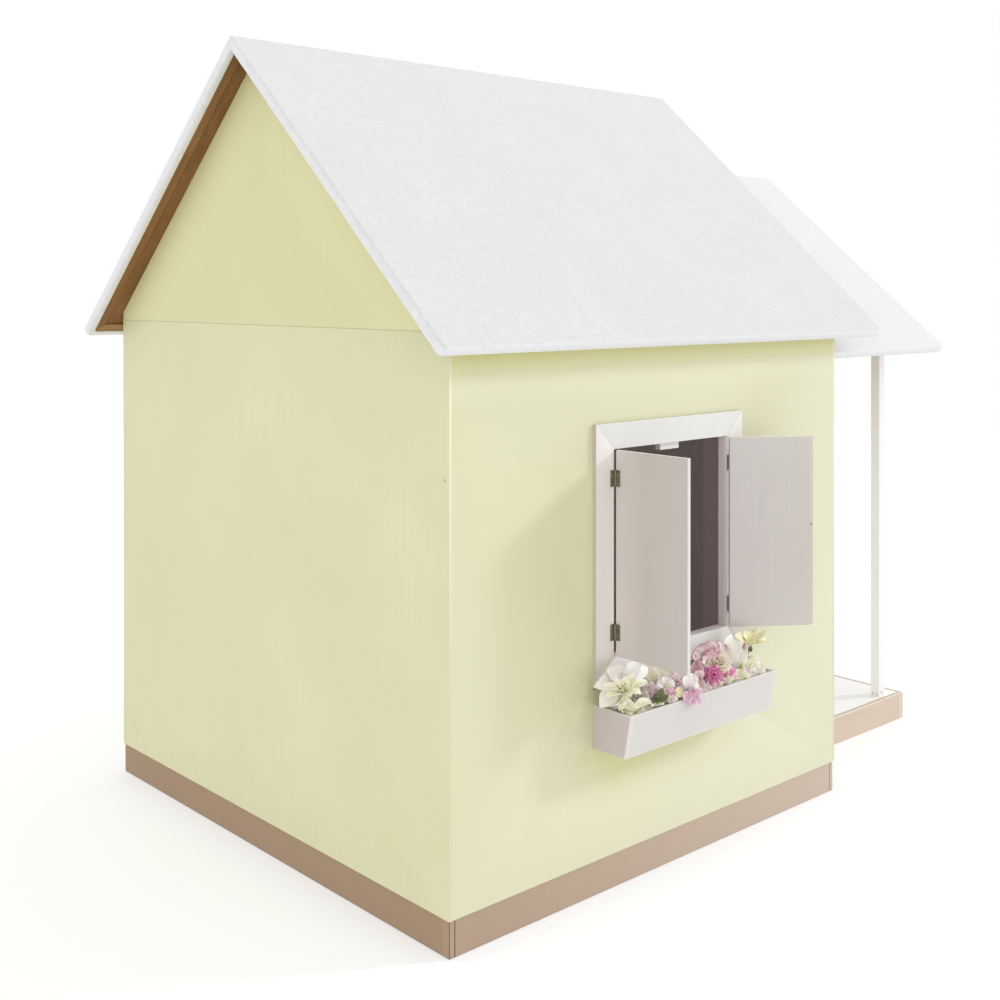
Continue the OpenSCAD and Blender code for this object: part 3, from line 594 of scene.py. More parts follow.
def make_object(name, points, faces, material, tints=None):
    """A smooth mesh object. tints, one colour for each point, goes to the attribute that materials read."""
    mesh = bpy.data.meshes.new(name)
    mesh.from_pydata([tuple(p) for p in points], [], faces)
    mesh.validate()
    mesh.polygons.foreach_set("use_smooth", [True] * len(mesh.polygons))
    if tints is not None:
        layer = mesh.attributes.new("tint", "FLOAT_COLOR", "POINT")
        for i, c in enumerate(tints):
            layer.data[i].color = c
    mesh.materials.append(material)
    ob = bpy.data.objects.new(name, mesh)
    bpy.context.scene.collection.objects.link(ob)
    return ob


def lines(half, edge_steps, step, centre_steps):
    """Grid lines from -half to half: close together at both edges and at the centre."""
    inner = half - edge_steps[-1]
    outer_centre = centre_steps[-1]
    count = max(1, round((inner - outer_centre) / step))
    one_side = [half - e for e in edge_steps]
    one_side += [inner + (outer_centre - inner) * i / count for i in range(1, count + 1)]
    one_side += list(reversed(centre_steps[:-1]))
    return [-v for v in one_side] + [v for v in reversed(one_side) if v > 1e-9]


class RoofFelt:
    """Soft felt laid over a ridge in one piece, wrapped round every edge and folded under it.

    s runs along the slope from the ridge, y across from the roof's middle, and n up from the felt's face.
    """

    SOFT = 0.006            # radius where it turns over an edge
    CORNER = 0.010          # radius of its corners, seen square to the slope
    PROUD = 0.0013          # how far its edges stand out
    THICK = 0.0022          # how deep its hidden face lies
    INSET = 0.0024          # how far in from the edges the hidden face ends
    # Inset and height of each ring of the hem: down the sides, under the boards, and back up inside
    HEM = [(0.0, -0.012), (0.0, -0.018), (0.0003, -0.0225), (0.0022, -0.0258), (0.006, -0.027),
           (0.012, -0.0272), (0.0172, -0.0268), (0.018, -0.0256), (0.0172, -0.0243),
           (0.01, -0.0243), (0.0026, -0.0243), (0.0024, -0.012), (0.0024, -0.0022)]
    OUTER_RINGS = 7         # of the hem's rings, those on the felt's outer face
    SIDE_RINGS = 4          # and those on its turned-down sides

    def __init__(self, ridge_z, pitch_deg, slope, front_y, back_y):
        pitch = math.radians(pitch_deg)
        self.tan, self.cos, self.sin = math.tan(pitch), math.cos(pitch), math.sin(pitch)
        self.ridge_z, self.slope = ridge_z, slope
        self.half_y, self.mid_y = (back_y - front_y) / 2, (back_y + front_y) / 2
        edge = [0.0, 0.0012, 0.0032, 0.0065, 0.013]
        self.s_lines = lines(slope, edge, 0.015, [0.0, 0.0025, 0.007])
        self.y_lines = lines(self.half_y, edge, 0.015, [0.0, 0.012])
        self.points, self.faces, self.tints = [], [], []
        ns, ny = len(self.s_lines), len(self.y_lines)
        self.border = [(i, 0) for i in range(ns)] + [(ns - 1, j) for j in range(1, ny)]
        self.border += [(i, ny - 1) for i in range(ns - 2, -1, -1)] + [(0, j) for j in range(ny - 2, 0, -1)]
        self.top()
        self.back(self.hem())

    def place(self, s, y, n):
        """The point at s, y and n, on a ridge that is rounded at the face and sharp at the boards."""
        x = s / self.slope * (self.slope * self.cos + n * self.sin)
        above = max(0.0, 1.0 + n / self.THICK)
        lift = 0.0016 * math.exp(-(x / 0.02) ** 2) * above
        z = self.ridge_z + n / self.cos + lift - math.hypot(x, 0.0075 * above) * self.tan
        return Vector((x, self.mid_y + y, z))

    def rounded(self, s, y):
        """Moves a point near a corner of the sheet onto its rounding."""
        a, b = self.slope - abs(s), self.half_y - abs(y)
        if a >= self.CORNER or b >= self.CORNER:
            return s, y
        v = Vector((self.CORNER - a, self.CORNER - b))
        if v.length < 1e-9:
            return s, y
        v *= max(v) / v.length
        return (math.copysign(self.slope - self.CORNER + v.x, s),
                math.copysign(self.half_y - self.CORNER + v.y, y))

    def drop(self, inset):
        """How far the face has turned down at a distance in from an edge."""
        if inset >= self.SOFT:
            return 0.0
        return self.SOFT - math.sqrt(max(0.0, self.SOFT ** 2 - (self.SOFT - inset) ** 2))

    def fuzz(self, s, y, n, amount):
        """Soft unevenness, broad and fine."""
        broad = Vector((s * 7.0, y * 7.0, n * 40.0))
        fine = Vector((s * 60.0, y * 60.0, n * 90.0 + 5.0))
        return amount * (0.55 * noise.noise(broad) + 0.6 * noise.noise(fine))

    def top(self):
        """The face, turned down at its edges."""
        for s in self.s_lines:
            for y in self.y_lines:
                down = math.hypot(self.drop(self.slope - abs(s)), self.drop(self.half_y - abs(y)))
                u, w = self.rounded(s, y)
                u *= (self.slope + self.PROUD) / self.slope
                w *= (self.half_y + self.PROUD) / self.half_y
                n = -min(down, self.SOFT) + self.fuzz(u, w, 0.0, 0.0009) - 0.0003
                self.points.append(self.place(u, w, n))
                turned_down = min(1.0, down / self.SOFT * 1.8)
                self.tints.append((turned_down, turned_down, turned_down, 1.0))
        ny = len(self.y_lines)
        for i in range(len(self.s_lines) - 1):
            for j in range(ny - 1):
                a = i * ny + j
                self.faces.append((a, a + ny, a + ny + 1, a + 1))

    def hem_point(self, k, i, j):
        """One point of the hem's ring k, below the border point (i, j)."""
        inset, n = self.HEM[k]
        s, y = self.rounded(self.s_lines[i], self.y_lines[j])
        outer = k < self.OUTER_RINGS
        if outer:
            inset -= self.PROUD
        s *= (self.slope - inset) / self.slope
        y *= (self.half_y - inset) / self.half_y
        wobble = self.fuzz(s * 1.3, y * 1.3, n, 0.0011) if outer else 0.0
        p = self.place(s, y, n + (wobble * 0.4 if k > 2 else 0.0))
        if k < self.SIDE_RINGS:
            if j in (0, len(self.y_lines) - 1):
                p.y += math.copysign(wobble - 0.0004, y)
            if i in (0, len(self.s_lines) - 1):
                p.x += math.copysign(wobble - 0.0004, s) * self.cos
        return p

    def hem(self):
        """Rings that go down the edges, fold under and come back up inside. Returns the last one."""
        ny = len(self.y_lines)
        last = [i * ny + j for i, j in self.border]
        for k in range(len(self.HEM)):
            start = len(self.points)
            for i, j in self.border:
                self.points.append(self.hem_point(k, i, j))
                self.tints.append((1.0, 1.0, 1.0, 1.0))
            ring = list(range(start, len(self.points)))
            for a in range(len(ring)):
                b = (a + 1) % len(ring)
                self.faces.append((last[b], last[a], ring[a], ring[b]))
            last = ring
        return last

    def back(self, ring):
        """The hidden face, against the boards, joined to the hem's last ring."""
        ns, ny = len(self.s_lines), len(self.y_lines)
        index = dict(zip(self.border, ring))
        for i in range(1, ns - 1):
            for j in range(1, ny - 1):
                index[(i, j)] = len(self.points)
                s = self.s_lines[i] * (self.slope - self.INSET) / self.slope
                y = self.y_lines[j] * (self.half_y - self.INSET) / self.half_y
                self.points.append(self.place(s, y, -self.THICK))
                self.tints.append((0.0, 0.0, 0.0, 1.0))
        for i in range(ns - 1):
            for j in range(ny - 1):
                corners = ((i, j), (i, j + 1), (i + 1, j + 1), (i + 1, j))
                self.faces.append(tuple(index[corner] for corner in corners))

    def finish(self, name, node, material):
        """The piece, which stands for a CAD node."""
        ob = make_object(name, self.points, self.faces, material, self.tints)
        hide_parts(node)
        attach(ob, "house")
        return ob


main_felt = RoofFelt(2.008, MAIN_PITCH, 1.090, -0.818, 0.782)
main_felt = main_felt.finish("main_roof_felt", "main_roof_covers", FELT)
porch_felt = RoofFelt(1.780, PORCH_PITCH, 0.882, -1.390, -0.700)
porch_felt = porch_felt.finish("porch_roof_felt", "porch_roof_covers", PORCH_FELT)


# ---------------------------------------------------------------- flowers

def blend_tint(a, b, t):
    """From colour a to colour b as t goes from 0 to 1."""
    t = max(0.0, min(1.0, t))
    return tuple(a[i] + (b[i] - a[i]) * t for i in range(3)) + (1.0,)


class Bunch:
    """Petals, leaves and stems gathered into one mesh. With over_rim it may hang down outside the box."""

    TRIM_X = -0.7385        # just in front of the window's trim
    LEAVES_Z = 0.5375       # just under the shutters
    RIM_Z = 0.4435          # the box's rim, and the faces of its boards
    BOARD_OUTER_X, BOARD_INNER_X, END_BOARD_Y = -0.8445, -0.829, 0.258

    def __init__(self, over_rim=False):
        self.points, self.faces, self.tints = [], [], []
        self.over_rim = over_rim

    def kept(self, p):
        """A point moved clear of the trim, the shutters and, below the rim, the box's boards."""
        x = min(p.x, self.TRIM_X)
        y = p.y
        z = min(p.z, self.LEAVES_Z)
        if z < self.RIM_Z:
            if not self.over_rim:
                x = max(x, self.BOARD_INNER_X)
                y = max(-self.END_BOARD_Y, min(self.END_BOARD_Y, y))
            elif x < -0.80:
                x = min(x, self.BOARD_OUTER_X)
        return Vector((x, y, z))

    def grid(self, rows, tints):
        """A sheet through rows of points."""
        start = len(self.points)
        nv, nu = len(rows), len(rows[0])
        for row, colours in zip(rows, tints):
            self.points += [self.kept(p) for p in row]
            self.tints += colours
        for v in range(nv - 1):
            for u in range(nu - 1):
                a = start + v * nu + u
                self.faces.append((a, a + 1, a + nu + 1, a + nu))

    def skin(self, start, rings, sides):
        """The skin and the two ends of a stack of rings."""
        for k in range(rings - 1):
            for i in range(sides):
                a, b = start + k * sides + i, start + k * sides + (i + 1) % sides
                self.faces.append((a, b, b + sides, a + sides))
        self.faces.append(tuple(start + i for i in reversed(range(sides))))
        end = start + (rings - 1) * sides
        self.faces.append(tuple(end + i for i in range(sides)))

    def tube(self, path, radius, tint, tip=None, sides=7):
        """A round stem along a path, tapering to the radius tip."""
        start = len(self.points)
        for k, p in enumerate(path):
            before, after = path[max(0, k - 1)], path[min(len(path) - 1, k + 1)]
            along = (after - before).normalized()
            side = along.orthogonal().normalized()
            up = along.cross(side)
            r = radius if tip is None else radius + (tip - radius) * k / (len(path) - 1)
            for i in range(sides):
                a = 2 * math.pi * i / sides
                self.points.append(self.kept(p + side * (r * math.cos(a)) + up * (r * math.sin(a))))
                self.tints.append(tint)
        self.skin(start, len(path), sides)

    def bud(self, at, along, length, width, tint, tip_tint, rings=11, sides=15):
        """A closed teardrop with five faint ribs."""
        along = along.normalized()
        side = along.orthogonal().normalized()
        up = along.cross(side)
        start = len(self.points)
        for k in range(rings):
            v = k / (rings - 1)
            r = width / 2 * (math.sin(math.pi * (0.04 + 0.93 * v) ** 0.72) ** 0.8) * (1.0 - 0.25 * v)
            for i in range(sides):
                a = 2 * math.pi * i / sides
                q = r * (1.0 + 0.08 * math.cos(5 * a + 2.0 * v))
                p = at + along * (length * v) + side * (q * math.cos(a)) + up * (q * math.sin(a))
                self.points.append(self.kept(p))
                self.tints.append(blend_tint(tint, tip_tint, v))
        self.skin(start, rings, sides)

    def finish(self, name, material, thickness=0.0006):
        """The piece made of everything gathered, given a thickness unless it is solid already."""
        ob = make_object(name, self.points, self.faces, material, self.tints)
        if thickness:
            shell = ob.modifiers.new("thickness", "SOLIDIFY")
            shell.thickness = thickness
            shell.offset = 0.0
        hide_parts("flowers")
        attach(ob, "house")


def turned(face, spin):
    """Axes with Z along face, turned about it."""
    z = Vector(face).normalized()
    x = z.orthogonal().normalized()
    x = Matrix.Rotation(spin, 3, z) @ x
    return Matrix((x, z.cross(x), z)).transposed()


POINTED = [(0.0, 0.2), (0.15, 0.34), (0.35, 0.78), (0.55, 1.0), (0.72, 0.86), (0.87, 0.5), (1.0, 0.04)]
ROUND = [(0.0, 0.22), (0.2, 0.5), (0.45, 0.88), (0.65, 1.0), (0.82, 0.92), (0.93, 0.66), (1.0, 0.25)]
STRAP = [(0.0, 0.4), (0.25, 0.7), (0.5, 0.95), (0.7, 1.0), (0.88, 0.72), (1.0, 0.1)]


def width_at(outline, v):
    """An outline's width at v of the petal's length, eased between the listed ones."""
    for (v0, w0), (v1, w1) in zip(outline, outline[1:]):
        if v <= v1:
            t = (v - v0) / (v1 - v0)
            t = t * t * (3 - 2 * t)
            return w0 + (w1 - w0) * t
    return outline[-1][1]


def petal(bunch, at, axes, turn, length, width, outline, lift, droop, base, tip, edge, cup=0.25,
          ruffle=0.0, waves=3.0, fold=0.0, twist=0.0, nu=9, nv=13, start_r=0.0):
    """One petal that leaves the flower's axis at angle turn, rises at lift degrees and bends to droop."""
    radial = Matrix.Rotation(turn, 3, "Z")
    rows, tints = [], []
    x, z = start_r, 0.0
    phase = rng.uniform(0.0, 6.28)
    step = length / (nv - 1)
    for k in range(nv):
        v = k / (nv - 1)
        angle = math.radians(lift + (droop - lift) * (v ** 1.15))
        if k:
            x += math.cos(angle) * step
            z += math.sin(angle) * step
        half = width / 2 * width_at(outline, v)
        roll = twist * v
        row, colours = [], []
        for i in range(nu):
            u = -1.0 + 2.0 * i / (nu - 1)
            bowl = cup * half * u * u + fold * half * abs(u)
            bowl += ruffle * width * abs(u) ** 2.5 * math.sin(waves * 6.28 * v + phase + 1.7 * u) * (0.3 + v)
            across = half * u * math.cos(roll)
            rise = bowl + half * u * math.sin(roll)
            local = Vector((x - math.sin(angle) * rise, across, z + math.cos(angle) * rise))
            row.append(Vector(at) + axes @ (radial @ local))
            tone = blend_tint(base, tip, v * 1.15 - 0.05)
            rim = max(abs(u) ** 3, max(0.0, (v - 0.72) / 0.28) ** 2)
            tone = blend_tint(tone, edge, rim * 0.9)
            line = 0.12 * math.exp(-(u * 5.0) ** 2) * (1.0 - v)
            colours.append(blend_tint(tone, base, line * 4.0))
        rows.append(row)
        tints.append(colours)
    bunch.grid(rows, tints)


def vec(x, y, z):
    """A place given in millimetres."""
    return Vector((x, y, z)) * MM


CREAM, CREAM_BASE = lin(244, 240, 212), lin(226, 220, 168)
IVORY, WHITE_PETAL = lin(246, 244, 235), lin(250, 247, 238)
PINK, BLUSH = lin(222, 160, 178), lin(242, 222, 220)
MAUVE, MAGENTA = lin(196, 162, 166), lin(172, 72, 112)
YELLOW, YELLOW_BASE = lin(246, 240, 200), lin(226, 218, 148)
LIME, OLIVE = lin(206, 206, 140), lin(146, 148, 74)
GREEN, DARK_GREEN = lin(92, 106, 52), lin(44, 56, 26)
STEM_GREEN, STEM_BROWN = lin(104, 112, 60), lin(98, 82, 54)


def lily(b, at, face, size, spin, base, tip, edge):
    """A trumpet of six pointed petals, every other one wider."""
    axes = turned(face, spin)
    for i in range(6):
        wide = 0.27 if i % 2 else 0.2106
        petal(b, at, axes, 6.283 * i / 6 + rng.uniform(-0.08, 0.08), size * 0.58 * rng.uniform(0.94, 1.06),
              size * wide, POINTED, 74 + rng.uniform(-6, 6), 34 + rng.uniform(-14, 10), base, tip, edge,
              cup=0.35, ruffle=0.035, waves=2.0, fold=0.15, start_r=size * 0.02)


def rose(b, at, face, size, spin, heart, mid, edge):
    """Four rings of round petals, each more open than the one inside it."""
    axes = turned(face, spin)
    rings = [(3, 0.26, 84, 96, 0.34), (4, 0.34, 78, 80, 0.42), (5, 0.44, 62, 50, 0.5), (6, 0.54, 44, 4, 0.56)]
    for k, (count, length, lift, droop, width) in enumerate(rings):
        tone = blend_tint(heart, mid, k / 2.4)
        for i in range(count):
            petal(b, at, axes, 6.283 * i / count + 0.7 * k + rng.uniform(-0.12, 0.12), size * length,
                  size * width, ROUND, lift + rng.uniform(-5, 5), droop + rng.uniform(-10, 10), tone,
                  blend_tint(mid, edge, k / 3.0), edge, cup=0.55, ruffle=0.05, waves=1.6,
                  start_r=size * 0.012 * k)


def ruffled(b, at, face, size, spin, heart, mid, edge):
    """Three rings of frilled petals."""
    axes = turned(face, spin)
    rings = [(5, 0.3, 72, 50), (7, 0.42, 52, 12), (8, 0.52, 30, -16)]
    for k, (count, length, lift, droop) in enumerate(rings):
        for i in range(count):
            petal(b, at, axes, 6.283 * i / count + 0.5 * k + rng.uniform(-0.1, 0.1), size * length,
                  size * 0.36, ROUND, lift + rng.uniform(-6, 6), droop + rng.uniform(-10, 10),
                  blend_tint(heart, mid, k * 0.5), mid, edge, cup=0.3, ruffle=0.11, waves=2.6)


def blossom(b, at, face, size, spin, base, tip, edge, count):
    """A small open flower round a yellow bud."""
    axes = turned(face, spin)
    for i in range(count):
        petal(b, at, axes, 6.283 * i / count, size * 0.5, size * 0.4, ROUND, 40, -4, base, tip, edge,
              cup=0.35, ruffle=0.05, nu=7, nv=8)
    b.bud(Vector(at), axes @ Vector((0, 0, 1)), size * 0.16, size * 0.14, YELLOW_BASE, YELLOW,
          rings=5, sides=9)


def leaf(b, at, along, length, width, spin, base, tip, droop):
    """A folded leaf."""
    along = Vector(along).normalized()
    up = Vector((0, 0, 1)) if abs(along.z) < 0.9 else Vector((1, 0, 0))
    z = (up - along * up.dot(along)).normalized()
    z = Matrix.Rotation(spin, 3, along) @ z
    axes = Matrix((along, z.cross(along), z)).transposed()
    petal(b, at, axes, 0.0, length, width, POINTED, 25, droop, base, tip, blend_tint(tip, base, 0.4),
          cup=0.1, ruffle=0.03, fold=0.45)


def stem(b, start, end, radius, tint=STEM_GREEN, bow=(0.0, 0.0, 6.0)):
    """A stem that bows at its middle. The radius and the bow are in millimetres."""
    path = [start.lerp(end, k / 8) + Vector(bow) * MM * math.sin(math.pi * k / 8) for k in range(9)]
    b.tube(path, radius * MM, tint, radius * 0.75 * MM)


def aimed(b, at, toward, facing, length, width, outline, base, tip, edge, lift=12, droop=-30, cup=0.25,
          ruffle=0.04, waves=2.2, fold=0.1, twist=0.0):
    """One petal from at, pointing towards a direction, with its inner face towards facing."""
    x = Vector(toward).normalized()
    z = Vector(facing)
    z = (z - x * z.dot(x)).normalized()
    axes = Matrix((x, z.cross(x), z)).transposed()
    petal(b, vec(*at), axes, 0.0, length * MM, width * MM, outline, lift, droop, base, tip, edge, cup=cup,
          ruffle=ruffle, waves=waves, fold=fold, twist=twist)


def fan(b, at, facing, petals, outline, base, tip, edge, **shape):
    """Several aimed petals from one point, each (toward, length, width)."""
    for toward, length, width in petals:
        aimed(b, at, toward, facing, length * rng.uniform(0.96, 1.04), width, outline, base, tip, edge,
              twist=rng.uniform(-0.2, 0.2), **shape)


lilies, roses, orchids, buds = Bunch(), Bunch(), Bunch(True), Bunch()
greens, stems = Bunch(), Bunch()
OUTWARD = (-0.72, 0.58, 0.38)
ROSE_EDGE, WARM_WHITE = lin(212, 138, 162), lin(245, 239, 236)
PALE_GREEN, PALE_BASE = lin(248, 247, 236), lin(234, 232, 212)

# Left end: big white pointed petals behind
fan(lilies, (-768, 222, 500), OUTWARD, [
    ((0.05, 0.95, -0.05), 86, 42), ((0.0, 0.62, 0.42), 58, 40), ((0.0, 0.1, 0.8), 38, 36),
    ((-0.1, -0.62, 0.34), 64, 36), ((-0.15, -0.95, 0.12), 86, 34), ((-0.2, -0.8, -0.1), 60, 30)],
    POINTED, WARM_WHITE, WHITE_PETAL, WHITE_PETAL, lift=16, droop=-16, ruffle=0.05)
# and hanging beside them, down to the box
fan(lilies, (-776, 236, 496), OUTWARD, [
    ((0.05, 0.8, -0.6), 74, 44), ((-0.05, 0.35, -0.9), 64, 48), ((-0.1, -0.25, -0.9), 58, 42)],
    POINTED, lin(242, 238, 226), WHITE_PETAL, IVORY, lift=10, droop=-18, ruffle=0.05)
# A cream lily of narrow petals in front of them
fan(lilies, (-802, 246, 478), (-0.5, 0.4, 0.75), [
    ((0.1, 0.98, 0.42), 78, 20), ((0.0, 0.95, 0.12), 66, 18), ((0.1, 0.6, 0.72), 50, 19),
    ((-0.05, 0.1, 0.95), 42, 20), ((-0.1, -0.5, 0.75), 50, 21), ((-0.15, -0.95, 0.28), 72, 21),
    ((-0.25, -0.85, -0.05), 46, 18), ((-0.7, 0.35, 0.12), 36, 17), ((-0.6, -0.2, 0.2), 34, 17)],
    STRAP, CREAM_BASE, CREAM, IVORY, lift=30, droop=-34, ruffle=0.03, fold=0.2)
for k in range(5):
    out = Vector((-0.35, 0.25 + 0.16 * k, 0.62 - 0.07 * k)).normalized()
    root = vec(-802, 248, 482)
    stems.tube([root, root + out * 0.016, root + out * 0.03], 0.7 * MM, lin(206, 204, 140), sides=5)
    buds.bud(root + out * 0.029, out.orthogonal(), 6 * MM, 2.4 * MM, lin(150, 104, 44), lin(176, 128, 60))
# A trumpet hanging to the rim, and a long petal lying along it
lily(lilies, vec(-812, 258, 486), (-0.5, 0.36, -0.78), 76 * MM, 0.9, lin(216, 216, 160), CREAM, IVORY)
fan(lilies, (-826, 250, 446), (-0.4, 0.2, 0.9), [((-0.02, -1.0, 0.16), 70, 24)], STRAP, CREAM_BASE, CREAM,
    IVORY, lift=30, droop=-36)
# Broad cream petals behind the stems
fan(roses, (-776, 122, 456), OUTWARD, [
    ((0.0, 0.35, 0.9), 52, 50), ((0.0, -0.3, 0.9), 54, 52), ((0.0, 0.85, 0.4), 42, 38),
    ((0.0, -0.9, 0.45), 40, 36)],
    ROUND, lin(238, 232, 192), lin(250, 244, 208), IVORY, lift=10, droop=-14, ruffle=0.05)
# Mauve and grey-pink blossoms behind the leaf
blossom(roses, vec(-796, 206, 464), (-0.7, 0.45, 0.5), 66 * MM, 0.3, lin(148, 136, 128), lin(192, 178, 174),
        lin(222, 206, 204), 6)
ruffled(roses, vec(-800, 164, 458), (-0.7, 0.4, 0.6), 62 * MM, 0.8, lin(212, 190, 186), lin(228, 210, 206),
        lin(208, 180, 180))
fan(roses, (-806, 226, 456), OUTWARD, [((-0.2, 0.2, -0.5), 34, 26), ((-0.2, 0.7, 0.0), 34, 24)], ROUND,
    lin(206, 198, 184), IVORY, IVORY)

# Middle: small white and pink blossoms
blossom(roses, vec(-802, 108, 466), (-0.7, 0.45, 0.55), 50 * MM, 0.9, BLUSH, WHITE_PETAL, WHITE_PETAL, 5)
ruffled(roses, vec(-806, 74, 468), (-0.7, 0.4, 0.6), 54 * MM, 0.1, PINK, lin(240, 206, 212), WHITE_PETAL)
blossom(roses, vec(-820, 116, 448), (-0.8, 0.4, 0.4), 46 * MM, 0.2, MAUVE, lin(212, 150, 172), BLUSH, 5)
fan(roses, (-826, 112, 446), OUTWARD, [((-0.1, -0.8, 0.34), 44, 24)], POINTED, YELLOW_BASE,
    lin(236, 222, 170), CREAM)
blossom(roses, vec(-770, 52, 476), (-0.5, 0.3, 0.9), 60 * MM, 1.9, YELLOW_BASE, CREAM, IVORY, 6)
# The orchid that hangs over the rim: white above, pink below
fan(orchids, (-832, 62, 460), OUTWARD, [
    ((-0.1, 0.25, 0.9), 34, 27), ((-0.15, -0.35, 0.85), 36, 27), ((-0.2, -0.8, 0.3), 30, 22)],
    ROUND, lin(226, 206, 214), WHITE_PETAL, WHITE_PETAL, lift=14, droop=-20, ruffle=0.06)
fan(orchids, (-838, 62, 456), OUTWARD, [
    ((-0.2, 0.62, -0.4), 38, 26), ((-0.2, 0.1, -0.85), 36, 24), ((-0.25, -0.55, -0.72), 44, 25),
    ((-0.25, -0.95, -0.35), 40, 22)],
    POINTED, lin(198, 138, 164), lin(220, 180, 198), lin(238, 216, 224), lift=10, droop=-24, ruffle=0.12)
blossom(orchids, vec(-842, 58, 456), (-0.8, 0.5, 0.2), 20 * MM, 0.4, MAGENTA, lin(206, 150, 184), BLUSH, 4)

# Right half: a half-open ruffled flower, its petals white with rose-pink edges
fan(roses, (-782, -66, 488), OUTWARD, [
    ((0.05, 0.92, 0.42), 60, 32), ((0.05, 0.62, 0.7), 54, 34), ((0.02, 0.25, 0.85), 48, 34),
    ((0.0, -0.15, 0.9), 48, 34), ((-0.05, -0.5, 0.75), 54, 36), ((-0.1, -0.85, 0.45), 66, 36)],
    ROUND, IVORY, WHITE_PETAL, ROSE_EDGE, lift=14, droop=-8, ruffle=0.13, waves=3.4)
fan(roses, (-790, -64, 486), OUTWARD, [
    ((-0.05, 0.75, 0.5), 40, 28), ((-0.1, 0.25, 0.75), 36, 28), ((-0.15, -0.3, 0.75), 36, 28),
    ((-0.15, -0.75, 0.5), 42, 28)],
    ROUND, lin(246, 236, 226), lin(242, 214, 220), PINK, lift=22, droop=-4, ruffle=0.13, waves=3.2)
# A cream rose with an olive heart
rose(roses, vec(-802, -84, 482), (-0.72, 0.42, 0.6), 60 * MM, 1.1, lin(148, 132, 84), lin(236, 224, 186),
     lin(248, 236, 218))
# Pale curled petals on the near side of it
fan(roses, (-792, -20, 502), OUTWARD, [((-0.1, 0.25, -0.9), 44, 40), ((-0.1, -0.35, -0.8), 40, 34)], ROUND,
    lin(190, 136, 142), lin(222, 184, 188), BLUSH, lift=10, droop=-26)
fan(roses, (-806, -12, 462), OUTWARD, [((-0.1, 0.5, 0.5), 34, 26), ((-0.2, 0.2, -0.4), 30, 26)], ROUND,
    lin(198, 150, 156), lin(232, 206, 208), WHITE_PETAL, lift=30, droop=-30, cup=0.5)
# Magenta bloom, paler below
ruffled(roses, vec(-794, -46, 456), (-0.75, 0.5, 0.42), 76 * MM, 0.9, lin(214, 130, 168), lin(238, 200, 212),
        WHITE_PETAL)
ruffled(roses, vec(-816, -50, 464), (-0.75, 0.5, 0.42), 47 * MM, 0.4, lin(192, 68, 128), lin(208, 104, 154),
        lin(226, 150, 184))
fan(roses, (-818, -42, 462), OUTWARD, [((-0.2, 0.25, -0.8), 30, 26), ((-0.25, -0.35, -0.75), 32, 28)], ROUND,
    lin(222, 140, 172), lin(242, 206, 218), WHITE_PETAL, lift=10, droop=-30)
# Pink petals along the rim
fan(roses, (-818, -92, 448), OUTWARD, [
    ((-0.1, 0.7, 0.1), 36, 24), ((-0.1, 0.2, 0.7), 30, 26), ((-0.1, -0.6, 0.5), 40, 26),
    ((-0.15, -0.95, 0.15), 44, 24)],
    ROUND, lin(186, 88, 128), lin(222, 142, 170), BLUSH, lift=14, droop=-26, ruffle=0.08)
# Large pale petals standing behind
fan(lilies, (-782, -150, 446), OUTWARD, [
    ((0.05, 0.28, 0.95), 78, 44), ((0.0, -0.25, 0.95), 88, 50), ((-0.1, -0.7, 0.7), 78, 46),
    ((-0.2, 0.5, 0.55), 56, 36)],
    ROUND, PALE_BASE, PALE_GREEN, WHITE_PETAL, lift=10, droop=-14, ruffle=0.06)
fan(lilies, (-796, -214, 470), OUTWARD, [((-0.1, 0.45, -0.25), 42, 28), ((-0.1, -0.5, -0.3), 38, 26)], ROUND,
    CREAM_BASE, IVORY, WHITE_PETAL, lift=16, droop=-26)
# Pale yellow lily at the far end, with its dark calyx
fan(lilies, (-788, -229, 499), (-0.5, 0.4, 0.75), [
    ((0.05, 0.85, 0.5), 64, 26), ((0.05, 0.35, 0.85), 42, 26), ((0.0, -0.25, 0.9), 40, 28),
    ((-0.05, -0.75, 0.42), 58, 30), ((-0.05, -0.95, 0.05), 72, 26), ((-0.3, 0.3, 0.2), 34, 22)],
    ROUND, YELLOW_BASE, YELLOW, CREAM, lift=22, droop=-26, ruffle=0.1, waves=3.0)
buds.bud(vec(-792, -230, 484), Vector((-0.15, 0.0, 1.0)), 16 * MM, 10 * MM, DARK_GREEN, OLIVE)
buds.bud(vec(-786, -212, 474), Vector((-0.1, 0.04, 1.0)), 36 * MM, 18 * MM, lin(236, 196, 204), PINK)
# Cream and blush blossoms fill the box between the big ones
FILL = [(CREAM_BASE, CREAM, IVORY), (lin(222, 206, 200), IVORY, WHITE_PETAL), (MAUVE, BLUSH, WHITE_PETAL),
        (LIME, lin(232, 230, 196), CREAM)]
for k in range(72):
    row = k % 2
    y = 258 - 514 * (k + rng.uniform(0.2, 0.8)) / 72
    base, tip, edge = FILL[0 if abs(y) > 190 else k % 4]
    blossom(roses, vec((-814, -764)[row] + rng.uniform(-10, 10), y, rng.uniform(428, 444) + 8 * row),
            (rng.uniform(-0.7, -0.3), rng.uniform(-0.1, 0.6), 0.8), rng.uniform(40, 56) * MM,
            rng.uniform(0, 3), base, tip, edge, 5)

